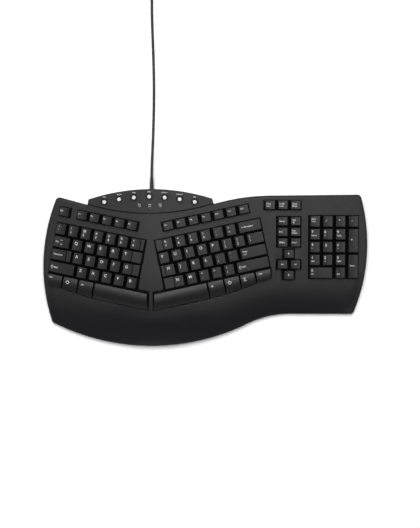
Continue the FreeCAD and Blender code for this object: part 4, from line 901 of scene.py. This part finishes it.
def loose_parts(mesh):
    """The vertices of each part of a mesh that hangs together."""
    group = list(range(len(mesh.vertices)))

    def leader(i):
        while group[i] != i:
            group[i] = group[group[i]]
            i = group[i]
        return i

    for edge in mesh.edges:
        a, b = (leader(i) for i in edge.vertices)
        if a != b:
            group[b] = a
    found = {}
    for vertex in mesh.vertices:
        found.setdefault(leader(vertex.index), []).append(vertex)
    return list(found.values())


def top_corner(vertices, plane):
    """The left side, the back and the height of a cap's top, measured along its plane."""
    along, back, normal = plane
    points = [vertex.co for vertex in vertices]
    highest = max(point.dot(normal) for point in points)
    top = [point for point in points if point.dot(normal) > highest - TOP_DEPTH * MM]
    return min(point.dot(along) for point in top), max(point.dot(back) for point in top), highest


def in_reading_order(tops):
    """Caps row by row from the back, and from left to right."""
    rows = {}
    for top in tops:
        rows.setdefault(round(top[1] / (ROW_STEP * MM)), []).append(top)
    order = []
    for row in sorted(rows, reverse=True):
        order += sorted(rows[row])
    return order


print("found", sum(len(loose_parts(cap.data)) for cap in caps.values()), "single caps")

# %% [markdown]
# The arrows and small marks aren't letters, so they are drawn: an arrow head is a three-sided
# cylinder and its shaft a thin block. All of them are as thin as the print.

# %% Legend helpers
INK = 0.05
BOLDNESS = 0.02
CAPITAL_SHARE = 0.72


def join_all(pieces, name):
    """Joins several objects into the first of them."""
    bpy.ops.object.select_all(action="DESELECT")
    for piece in pieces:
        piece.select_set(True)
    bpy.context.view_layer.objects.active = pieces[0]
    if len(pieces) > 1:
        bpy.ops.object.join()
    joined = bpy.context.object
    joined.name = name
    joined.data.name = name
    return joined


def set_in_place(piece):
    """Moves an object's own place, turn and size into its mesh."""
    only(piece)
    bpy.ops.object.transform_apply(location=True, rotation=True, scale=True)


def word_mesh(text, height):
    """A word whose first capital starts at the origin, as a thin mesh, in millimetres."""
    bpy.ops.object.text_add(location=(0, 0, 0))
    word = bpy.context.object
    word.data.body = text
    word.data.size = height / CAPITAL_SHARE
    word.data.extrude = INK
    word.data.offset = BOLDNESS * height
    word.data.resolution_u = 3
    only(word)
    bpy.ops.object.convert(target="MESH")
    return bpy.context.object


def bar(x0, x1, y0, y1):
    """A thin printed bar."""
    bpy.ops.mesh.primitive_cube_add(size=1, location=((x0 + x1) / 2, (y0 + y1) / 2, 0))
    piece = bpy.context.object
    piece.scale = (x1 - x0, y1 - y0, 2 * INK)
    set_in_place(piece)
    return piece


def arrow_head(x, y, reach, angle):
    """A printed triangle that points along an angle."""
    bpy.ops.mesh.primitive_cylinder_add(vertices=3, radius=reach, depth=2 * INK, location=(x, y, 0))
    piece = bpy.context.object
    piece.rotation_euler = (0, 0, math.radians(angle - 90))
    set_in_place(piece)
    return piece


def outline_mark(corners, stroke):
    """A printed closed outline: each side is a bar turned from one corner to the next."""
    sides = []
    for start, end in zip(corners, corners[1:] + corners[:1]):
        run = Vector(end) - Vector(start)
        side = bar(0, run.length, -stroke / 2, stroke / 2)
        side.rotation_euler = (0, 0, math.atan2(run.y, run.x))
        side.location = (*start, 0)
        set_in_place(side)
        sides.append(side)
    return sides


def mark_parts(mark, h):
    """The parts of a drawn mark, in a square of a height whose lower left corner is the origin."""
    thin = 0.1 * h
    if mark == "mark:left":
        return [arrow_head(0.35 * h, h / 2, 0.36 * h, 180), bar(0.4 * h, 1.2 * h, 0.44 * h, 0.56 * h)]
    if mark == "mark:right":
        return [arrow_head(0.85 * h, h / 2, 0.36 * h, 0), bar(0, 0.8 * h, 0.44 * h, 0.56 * h)]
    if mark == "mark:up":
        return [arrow_head(h / 2, 0.65 * h, 0.36 * h, 90), bar(0.44 * h, 0.56 * h, 0, 0.6 * h)]
    if mark == "mark:down":
        return [arrow_head(h / 2, 0.35 * h, 0.36 * h, 270), bar(0.44 * h, 0.56 * h, 0.4 * h, h)]
    if mark == "mark:return":
        tail = [bar(0.3 * h, 1.5 * h, 0.3 * h, 0.42 * h), bar(1.38 * h, 1.5 * h, 0.42 * h, 0.95 * h)]
        return [arrow_head(0.3 * h, 0.35 * h, 0.34 * h, 180)] + tail
    if mark == "mark:shift":
        arrow = [(0.5, 1.0), (0.0, 0.5), (0.28, 0.5), (0.28, 0.0), (0.72, 0.0), (0.72, 0.5), (1.0, 0.5)]
        return outline_mark([(x * h, y * h) for x, y in arrow], thin)
    if mark == "mark:menu":
        sheet = outline_mark([(0, 0), (0.85 * h, 0), (0.85 * h, h), (0, h)], thin)
        return sheet + [bar(0.2 * h, 0.65 * h, y * h, y * h + thin) for y in (0.22, 0.45, 0.68)]
    return outline_mark([(0.5 * h, 0), (h, 0.5 * h), (0.5 * h, h), (0, 0.5 * h)], 1.6 * thin)


def mark_mesh(mark, height):
    return join_all(mark_parts(mark, height), "mark")


print("a print is", 2 * INK, "mm thick")

# %% [markdown]
# What a cap says is a list of prints. Each print has its text, the height of its capitals, how far
# it starts from the left of the cap's top face, and how far its baseline lies below the back of that
# face, all in millimetres as they were read off the photograph. Letters are large and stand at the
# upper left, numbers share their cap with a sign above them, and words are small.

# %% What each cap says
WORD = 2.3


def letter(text):
    return [(text, 4.2, 2.9, 7.2)]


def letters(text):
    return [letter(character) for character in text]


def pairs(text):
    """Caps with two signs each, from a text that gives the upper and the lower sign in turn."""
    return [[(upper, 3.0, 2.8, 5.2), (lower, 3.3, 2.8, 11.3)] for upper, lower in zip(text[::2], text[1::2])]


def words(*lines, left=1.3, first=5.2):
    return [(line, WORD, left, first + 3.5 * i) for i, line in enumerate(lines)]


def pad_digits(*prints):
    """Pad keys from texts that give the digit and the small print below it."""
    return [[(text[0], 3.9, 1.5, 6.2), (text[2:], 2.2, 1.5, 10.6)] for text in prints]


SHIFT = [("mark:shift", 4.4, 2.0, 10.0), ("Shift", WORD, 7.4, 9.0)]
DIAMOND = [("mark:diamond", 5.0, 4.5, 9.5)]
MENU = [("mark:menu", 4.6, 4.0, 9.5)]
LEFT_LEGENDS = {
    "escape_key": [words("Esc")],
    "left_function_keys": [words(f"F{i}") for i in range(1, 6)],
    "left_number_keys": pairs("~`!1@2#3$4%5^6"),
    "tab_key": [[("Tab", WORD, 2.4, 8.9), ("mark:left", 2.8, 9.6, 6.3), ("mark:right", 2.8, 9.6, 12.2)]],
    "left_upper_letter_keys": letters("QWERT"),
    "caps_lock_key": [words("Caps Lock", left=2.8, first=8.3)],
    "left_home_letter_keys": letters("ASDFG"),
    "left_shift_key": [SHIFT],
    "left_lower_letter_keys": letters("ZXCVB"),
    "left_modifier_keys": [words("Ctrl", left=2.5), DIAMOND, words("Alt", left=3.5, first=7.0)],
}
RIGHT_LEGENDS = {
    "right_function_keys": [words(f"F{i}", left=2.0) for i in range(6, 13)],
    "right_number_keys": pairs("&7*8(9)0_-+="),
    "backspace_key": [[("mark:left", 2.8, 3.2, 9.0), ("Backspace", WORD, 7.6, 8.7)]],
    "right_upper_letter_keys": letters("YUIOP") + pairs("{[}]|\\"),
    "right_home_letter_keys": letters("HJKL") + pairs(":;\"'"),
    "enter_key": [[("Enter", WORD, 3.0, 6.3), ("mark:return", 3.0, 3.6, 10.6)]],
    "right_lower_letter_keys": letters("NM") + pairs("<,>.?/"),
    "right_shift_key": [SHIFT],
    "right_modifier_keys": [words("Alt", left=3.5, first=8.0), DIAMOND, MENU, words("Ctrl", left=4.0)],
}
SIDE_LEGENDS = {
    "print_keys": [words("Print", "Scrn"), words("Scroll", "Lock"), words("Pause", "Break")],
    "navigation_keys": [
        words("Home", first=7.0), words("Page", "Up"), words("End", first=7.0), words("Page", "Down"),
        words("Delete", first=7.0), words("Insert", first=7.0),
    ],
    "arrow_keys": [[(f"mark:{way}", 3.6, 4.4, 7.8)] for way in ("up", "left", "right", "down")],
    "pad_operator_keys": [words("Num", "Lock")] + [[(sign, 3.4, 4.0, 8.0)] for sign in "/*-"],
    "pad_upper_digit_keys": pad_digits("7 Home", "8 mark:up", "9 PgUp"),
    "pad_plus_key": [[("+", 3.6, 3.0, 17.5)]],
    "pad_middle_digit_keys": pad_digits("4 mark:left") + letters("5") + pad_digits("6 mark:right"),
    "pad_lower_digit_keys": pad_digits("1 End", "2 mark:down", "3 PgDn", ". Del"),
    "pad_enter_key": [[("Enter", WORD, 2.0, 17.5)]],
    "pad_zero_key": pad_digits("0 Ins"),
}
LEGENDS = ((LEFT_PLANE, LEFT_LEGENDS), (RIGHT_PLANE, RIGHT_LEGENDS), (SIDE_PLANE, SIDE_LEGENDS))
print(sum(len(entries) for plane, banks in LEGENDS for entries in banks.values()), "caps have a legend")

# %% [markdown]
# To print a cap, each legend is laid out flat from the corner of the cap's top, and every point of
# it is dropped along the plane's own normal onto the cap. The prints of a bank are joined into one
# piece, which rides on the bank's body and so goes down with the keys.

# %% Print the legends
RAY_START = 20.0


def surface_of(piece):
    """A piece's faces in a form that rays can be cast at."""
    corners = [vertex.co for vertex in piece.data.vertices]
    return BVHTree.FromPolygons(corners, [list(face.vertices) for face in piece.data.polygons])


def lay_print(piece, corner, plane, surface):
    """Lays a flat print, drawn in millimetres, on a cap whose top corner is known."""
    along, back, normal = plane
    left, rear, height = corner
    for vertex in piece.data.vertices:
        x = left + vertex.co.x * MM
        y = rear + vertex.co.y * MM
        start = along * x + back * y + normal * (height + RAY_START * MM)
        hit = surface.ray_cast(start, -normal)[0]
        if hit is None:
            hit = along * x + back * y + normal * height
        vertex.co = hit + normal * vertex.co.z * MM


def print_bank(node, plane, entries):
    """All the legends of one bank of caps, as one piece."""
    cap = caps[node]
    tops = in_reading_order([top_corner(part, plane) for part in loose_parts(cap.data)])
    surface = surface_of(cap)
    prints = []
    for (side, rear, level), lines in zip(tops, entries):
        for text, height, left, drop in lines:
            piece = mark_mesh(text, height) if text.startswith("mark:") else word_mesh(text, height)
            lay_print(piece, (side + left * MM, rear - drop * MM, level), plane, surface)
            prints.append(piece)
    return dress(join_all(prints, node + "_legends"), legend_ink, node)


printed = [print_bank(node, plane, banks[node]) for plane, banks in LEGENDS for node in banks]
print(len(printed), "banks printed,", sum(len(piece.data.polygons) for piece in printed), "faces")

# %% [markdown]
# ## Round pieces
# Hotkeys, lamps, domes, feet, screws and the strain relief are turned. A turned shape starts as a
# profile: one point, extruded from step to step to each radius and height. Spin then carries the
# profile once round the axis. Its first and last rings are merged, and the normals are set to face
# outwards.

# %% Spin a profile
TURN_STEPS = 48
ROUND_ANGLE = 35.0
SEAM_DISTANCE = 0.005


def turned_piece(name, profile, steps=TURN_STEPS):
    """A profile of radius and height in millimetres, spun round Z."""
    bpy.ops.mesh.primitive_plane_add(size=MM, location=(0, 0, 0))
    piece = bpy.context.object
    piece.name = name
    piece.data.name = name
    only(piece)
    bpy.ops.object.mode_set(mode="EDIT")
    bpy.ops.mesh.select_mode(type="VERT")
    bpy.ops.mesh.select_all(action="SELECT")
    bpy.ops.mesh.merge(type="CENTER")
    radius, height = profile[0]
    bpy.ops.transform.translate(value=(radius * MM, 0, height * MM))
    for (radius, height), (next_radius, next_height) in zip(profile, profile[1:]):
        step = ((next_radius - radius) * MM, 0, (next_height - height) * MM)
        bpy.ops.mesh.extrude_region_move(TRANSFORM_OT_translate={"value": step})
    bpy.ops.mesh.select_all(action="SELECT")
    bpy.ops.mesh.spin(steps=steps, angle=2 * math.pi, center=(0, 0, 0), axis=(0, 0, 1))
    bpy.ops.mesh.select_all(action="SELECT")
    bpy.ops.mesh.remove_doubles(threshold=SEAM_DISTANCE * MM)
    face_outwards()
    bpy.ops.object.mode_set(mode="OBJECT")
    bpy.ops.object.shade_smooth_by_angle(angle=math.radians(ROUND_ANGLE))
    return piece


def copied_to(piece, name, place):
    """A copy with its own mesh, moved by a matrix."""
    copy = bpy.data.objects.new(name, piece.data.copy())
    copy.data.name = name
    bpy.context.collection.objects.link(copy)
    copy.data.transform(place)
    return copy


def repeated(pattern, places, name):
    """Copies of a pattern at all its places, joined into one piece. The pattern itself goes."""
    copies = [copied_to(pattern, f"{name}_{i}", place) for i, place in enumerate(places)]
    bpy.data.objects.remove(pattern)
    return join_all(copies, name)


def upright_at(x, y):
    return Matrix.Translation((x * MM, y * MM, 0))


print("round pieces are spun in", TURN_STEPS, "steps")

# %% [markdown]
# The deck is tented and sloped, so nothing that stands on it is upright. One matrix per place turns
# a piece that was drawn round Z square to the rounded deck, and sets it there.

# %% The deck's own frame under the pod
def deck_frame(x, y):
    """A matrix that stands a piece, drawn round Z, square on the rounded deck."""
    reach = RIDGE_RADIUS * math.tan(math.radians(LEFT_TILT - RIGHT_TILT) / 2)
    tilt = LEFT_TILT if x < RIDGE_X else RIGHT_TILT
    if abs(x - RIDGE_X) < reach:
        tilt = LEFT_TILT + (RIGHT_TILT - LEFT_TILT) * (x - RIDGE_X + reach) / (2 * reach)
    normal = Vector((-tangent(tilt), -tangent(DECK_SLOPE), 1.0)).normalized()
    turn = Vector((0, 0, 1)).rotation_difference(normal).to_matrix().to_4x4()
    return Matrix.Translation((x * MM, y * MM, deck_height(x, y) * MM)) @ turn


print("the deck under the pod's middle is", round(deck_height(RIDGE_X, 100), 2), "mm high")

# %% [markdown]
# A hotkey is a small round button with a domed top, moulded in white. It stands in a dark dished
# ring that guides the finger. Both are turned once and copied to the seven places on the pod.

# %% Hotkeys and their rings
HOTKEYS_LEFT = [(-148.6, 97.6), (-126.5, 101.4), (-104.6, 103.9), (-82.0, 105.0)]
HOTKEYS = HOTKEYS_LEFT + [(-164.0 - x, y) for x, y in reversed(HOTKEYS_LEFT[:-1])]
BUTTON_RADIUS = 2.9

button = turned_piece("button", [
    (0.0, -0.85), (BUTTON_RADIUS, -0.85), (BUTTON_RADIUS, 1.6), (2.85, 1.95), (2.7, 2.2), (2.45, 2.42),
    (2.05, 2.54), (1.4, 2.64), (0.7, 2.68), (0.0, 2.69),
])
collar = turned_piece("collar", [
    (3.1, 0.9), (3.2, 1.15), (4.2, 1.7), (4.9, 2.35), (5.15, 2.62), (5.4, 2.68), (5.6, 2.6),
    (5.62, 2.35), (3.1, 0.8), (3.1, 0.9),
])
standing = [deck_frame(*place) for place in HOTKEYS]
for i, place in enumerate(standing):
    cap = copied_to(button, f"hotkey_{i + 1}_cap", place)
    dress(cap, hotkey_plastic, f"hotkey_{i + 1}", "hotkey_plastic", f"hotkey_{i + 1}")
bpy.data.objects.remove(button)
dress(repeated(collar, standing, "hotkey_rings"), ring_plastic, "housing", "panel_plastic")
print(len(HOTKEYS), "hotkeys, each", 2 * BUTTON_RADIUS, "mm across")

# %% [markdown]
# Three lamps sit in front of the hotkeys. Unlit, they are small smoked lenses with a glossy dome,
# and a flange under the panel keeps them in.

# %% Indicator lamps
LAMPS = [(-96.5, 88.4), (-81.2, 87.8), (-66.0, 88.7)]
lens = turned_piece("lens", [
    (0.0, -0.75), (2.0, -0.75), (2.0, -0.05), (1.2, -0.05), (1.2, 2.6), (1.1, 2.68), (0.6, 2.72), (0.0, 2.73),
], 32)
lenses = repeated(lens, [deck_frame(*place) for place in LAMPS], "lamp_lenses")
dress(lenses, smoked_lens, "housing", "lens", "indicator_lenses")
print(len(LAMPS), "lamps")

# %% [markdown]
# The pod's own words are printed on the panel: one over each hotkey, and two lines over each lamp.
# The panel is the surface that the rays look for this time.

# %% Words on the pod
HOTKEY_WORDS = ["Web", "Search", "Mail", "Mute", "Volume -", "Volume +", "Play"]
HOTKEY_WORD = 1.8
HOTKEY_WORD_RISE = 6.4
LAMP_WORDS = [("Num", "Lock"), ("Caps", "Lock"), ("Scroll", "Lock")]
LAMP_WORD = 1.5
LAMP_WORD_RISES = (5.0, 2.5)
ABOVE_ALL = 0.1
panel_surface = surface_of(pod_panel)


def print_on_panel(text, height, x, y):
    """A word printed on the panel, centred on a place in plan."""
    piece = word_mesh(text, height)
    width = max(vertex.co.x for vertex in piece.data.vertices)
    for vertex in piece.data.vertices:
        plan = Vector(((x + vertex.co.x - width / 2) * MM, (y + vertex.co.y) * MM, ABOVE_ALL))
        hit = panel_surface.ray_cast(plan, Vector((0, 0, -1)))[0]
        vertex.co = Vector((plan.x, plan.y, hit.z + vertex.co.z * MM))
    return piece


pod_words = []
for (x, y), text in zip(HOTKEYS, HOTKEY_WORDS):
    pod_words.append(print_on_panel(text, HOTKEY_WORD, x, y + HOTKEY_WORD_RISE))
for (x, y), lines in zip(LAMPS, LAMP_WORDS):
    for text, rise in zip(lines, LAMP_WORD_RISES):
        pod_words.append(print_on_panel(text, LAMP_WORD, x, y + rise))
dress(join_all(pod_words, "pod_legends"), legend_ink, "housing")
print(len(pod_words), "words on the pod")

# %% [markdown]
# ## Rubber domes
# Under each key a dome of silicone rubber gives way when the key goes down, and pushes it up again.
# The CAD domes are rigid blocks that stand on three sheets. Here the sheets are a copy of them: a
# copy's upper points are pressed down onto the sheet, and the flat neighbours are dissolved.

# %% Press the domes of the sheets flat
SHEET = 0.4
ABOVE_SHEET = 0.1
DOME_SPREAD = 7.0


def level_range(vertices, normal):
    """The lowest and highest level of some vertices, measured along a direction."""
    levels = [vertex.co.dot(normal) for vertex in vertices]
    return min(levels), max(levels)


def flattest_plane(vertices):
    """The key plane along which some vertices reach the least far up and down."""

    def depth(plane):
        lowest, highest = level_range(vertices, plane[2])
        return highest - lowest

    return min(PLANES, key=depth)


def grouped(points, spread):
    """The middles of groups of points that lie close together."""
    groups = []
    for point in points:
        near = [group for group in groups if (group[0] - point).length < spread]
        if near:
            near[0].append(point)
        else:
            groups.append([point])
    return [sum(group, Vector()) / len(group) for group in groups]


sheets = copy_of_node("rubber_domes", "rubber_sheets")
in_edit_mode(sheets, merge)
crowns = []
for part in loose_parts(sheets.data):
    plane = flattest_plane(part)
    normal = plane[2]
    bottom, crown_level = level_range(part, normal)
    sheet_top = bottom + SHEET * MM
    upper = [vertex for vertex in part if vertex.co.dot(normal) > sheet_top + ABOVE_SHEET * MM]
    centres = grouped([vertex.co.copy() for vertex in upper], DOME_SPREAD * MM)
    crowns += [(plane, centre) for centre in centres]
    for vertex in upper:
        vertex.co -= normal * (vertex.co.dot(normal) - sheet_top)
dome_height = (crown_level - sheet_top) / MM
in_edit_mode(sheets, dissolve_flats, face_outwards)
dress(sheets, dome_rubber, "housing", "dome_rubber", "rubber_domes")
print(len(crowns), "domes,", round(dome_height, 2), "mm high")

# %% [markdown]
# One dome is turned: a foot, a thin slanted wall and a dished crown. A copy goes to each place. A
# ray that goes up from a crown tells which bank of caps the dome carries, and the domes of a bank
# are joined.

# %% Domes under the caps
FOOT_GAP = 0.02
DISH = 0.25
dome = turned_piece("dome", [
    (0.0, FOOT_GAP), (4.6, FOOT_GAP), (4.7, 0.2), (4.3, 0.55), (3.0, 0.6 * dome_height),
    (2.65, 0.9 * dome_height), (2.45, dome_height), (1.8, dome_height), (1.5, dome_height - DISH),
    (0.0, dome_height - DISH),
], 24)
cap_surfaces = {node: surface_of(cap) for node, cap in caps.items()}
bank_domes = {}
for plane, centre in crowns:
    along, back, normal = plane
    reach = {}
    for node, surface in cap_surfaces.items():
        distance = surface.ray_cast(centre, normal)[3]
        if distance is not None:
            reach[node] = distance
    node = min(reach, key=reach.get)
    foot_place = centre - normal * dome_height * MM
    standing = Matrix.Translation(foot_place) @ Matrix((along, back, normal)).transposed().to_4x4()
    place = (copied_to(dome, f"{node}_dome", standing), plane, foot_place)
    bank_domes.setdefault(node, []).append(place)
for node, places in bank_domes.items():
    whole = join_all([piece for piece, plane, foot_place in places], node + "_domes")
    dress(whole, dome_rubber, "housing", "dome_rubber")
    piece, plane, foot_place = places[0]
    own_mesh(whole)
bpy.data.objects.remove(dome)

# %% [markdown]
# ## Underside
# Underneath are five round rubber feet, eight screws and two folding legs. A foot is a turned disc
# with a soft lip.

# %% Feet
FEET = [(-216.0, -70.0), (-84.0, -104.0), (212.0, -57.0), (-150.0, 78.0), (180.0, 100.0)]
foot = turned_piece("foot", [
    (0.0, 0.35), (3.6, 0.35), (4.1, 0.1), (4.6, 0.0), (5.0, 0.08), (5.35, 0.4), (5.45, 0.8), (5.45, 2.5),
    (0.0, 2.5),
])
feet = repeated(foot, [upright_at(*place) for place in FEET], "feet")
dress(feet, foot_rubber, "housing", "foot_rubber", "rubber_feet")
print(len(FEET), "feet")

# %% [markdown]
# The screws are pan heads with a cross, in blackened steel, let in from below. The head and shank
# are turned. A Boolean modifier cuts the cross away with two bars at right angles.

# %% Screws
CROSS_SIZE = (3.2, 0.62, 1.3)
CROSS_HEIGHT = 2.45
screw = turned_piece("screw", [
    (0.0, 2.2), (2.2, 2.2), (2.55, 2.3), (2.68, 2.5), (2.68, 3.8), (1.28, 3.8), (1.28, 10.6), (0.5, 11.5),
    (0.0, 11.5),
], 32)
for turn in (0, 90):
    bpy.ops.mesh.primitive_cube_add(size=1, location=(0, 0, CROSS_HEIGHT * MM))
    cutter = bpy.context.object
    cutter.scale = [value * MM for value in CROSS_SIZE]
    cutter.rotation_euler = (0, 0, math.radians(turn))
    only(screw)
    cut = screw.modifiers.new("cross", "BOOLEAN")
    cut.operation = "DIFFERENCE"
    cut.object = cutter
    bpy.ops.object.modifier_apply(modifier=cut.name)
    bpy.data.objects.remove(cutter)
screws = repeated(screw, [upright_at(*place) for place in SCREWS], "screws")
dress(screws, screw_steel, "housing", "screw_steel", "case_screws")
print(len(SCREWS), "screws")

# %% [markdown]
# The legs fold out of the tray to tilt the keyboard. Their CAD shape is right as it stands, hinge
# barrel and all, so each is a softened copy that rides on its own body.

# %% Tilt legs
LEG_ROUNDING = 0.35
for leg in ("tilt_leg_left", "tilt_leg_right"):
    piece = softened(leg, leg + "_moulding", LEG_ROUNDING)
    dress(piece, base_plastic, leg, "base_plastic", leg)
    print(piece.name, "has", len(piece.data.polygons), "faces")

# %% [markdown]
# ## Pieces on the cord
# The strain relief is a turned sleeve with grooves that let it bend. It is spun upright and then
# laid along +Y, the way the cord leaves. The plug is a rounded block with grip ribs and a plated
# shell, and a flat tie holds the coil.

# %% Strain relief
RELIEF_EXIT = (-80.1, 116.5, 12.0)
RIB_COUNT = 7
RIB_STEP = 2.5
FIRST_RIB = 2.2
RIB_RADIUS = 3.2
RIB_TAPER = 0.1
BORE = 2.05
profile = [
    (BORE, -4.6), (5.1, -4.6), (5.2, -4.4), (5.2, -2.7), (3.1, -2.6), (3.1, 0.1), (4.9, 0.1), (5.15, 0.35),
    (5.15, 1.8), (4.9, 2.1),
]
for i in range(RIB_COUNT):
    start = FIRST_RIB + i * RIB_STEP
    outer = RIB_RADIUS - i * RIB_TAPER
    for inset, rise in ((0.0, 0.0), (0.05, 1.5), (0.35, 1.75), (0.4, 2.25)):
        profile.append((outer - inset, start + rise))
profile += [(2.55, 19.8), (2.4, 20.05), (BORE, 20.1), (BORE, -4.6)]
sleeve = turned_piece("cord_sleeve", profile, 40)
laid = Matrix.Rotation(math.radians(-90), 4, "X")
sleeve.data.transform(Matrix.Translation([value * MM for value in RELIEF_EXIT]) @ laid)
dress(sleeve, cord_rubber, "housing", "cord_rubber", "strain_relief")
print("the sleeve has", len(sleeve.data.polygons), "faces")

# %% [markdown]
# The tie is a flat strip of nylon wound round the coil. Its CAD shape only needs softer edges.

# %% Tie
TIE_ROUNDING = 0.25
tie = softened("cord_tie", "coil_tie", TIE_ROUNDING)
dress(tie, tie_plastic, "housing", "tie_plastic", "cord_tie")
print("the tie has", len(tie.data.polygons), "faces")

# %% [markdown]
# The plug's grip is moulded round the cord's end: a block with generous roundings, and five short
# ribs on each side for the fingers. Its plated shell is bent sheet, so it is a softened copy with
# a very small rounding.

# %% Plug
GRIP_SIZE = (11.7, 20.0, 6.6)
GRIP_ROUNDING = 1.6
RIB_SIZE = (0.9, 1.0, 4.6)
RIB_ROUNDING = 0.3
RIB_SIDE = 5.75
RIB_START = 4.0
RIB_PITCH = 2.2
RIBS_ON_SIDE = 5
SHELL_ROUNDING = 0.12
PLUG_MIDDLE = (tail_x, plug_start - GRIP_SIZE[1] / 2, PLUG_Z)


def rounded_block(name, centre, size, rounding, segments):
    """A block with rounded edges, at its place and size in millimetres."""
    bpy.ops.mesh.primitive_cube_add(size=1, location=[value * MM for value in centre])
    piece = bpy.context.object
    piece.name = name
    piece.scale = [value * MM for value in size]
    set_in_place(piece)
    round_edges(piece, rounding, segments)
    return piece


x, y, z = PLUG_MIDDLE
moulding = [rounded_block("plug_grip", PLUG_MIDDLE, GRIP_SIZE, GRIP_ROUNDING, 5)]
for side in (-RIB_SIDE, RIB_SIDE):
    for i in range(RIBS_ON_SIDE):
        middle = (x + side, y + RIB_START - i * RIB_PITCH, z)
        moulding.append(rounded_block("rib", middle, RIB_SIZE, RIB_ROUNDING, 2))
dress(join_all(moulding, "plug_moulding"), cord_rubber, "housing", "cord_rubber", "plug_body")
metal = softened("plug_shell", "plug_metal", SHELL_ROUNDING, 2)
dress(metal, plug_steel, "housing", "plug_steel", "plug_shell")
print("the plug lies at", [round(value, 1) for value in PLUG_MIDDLE])
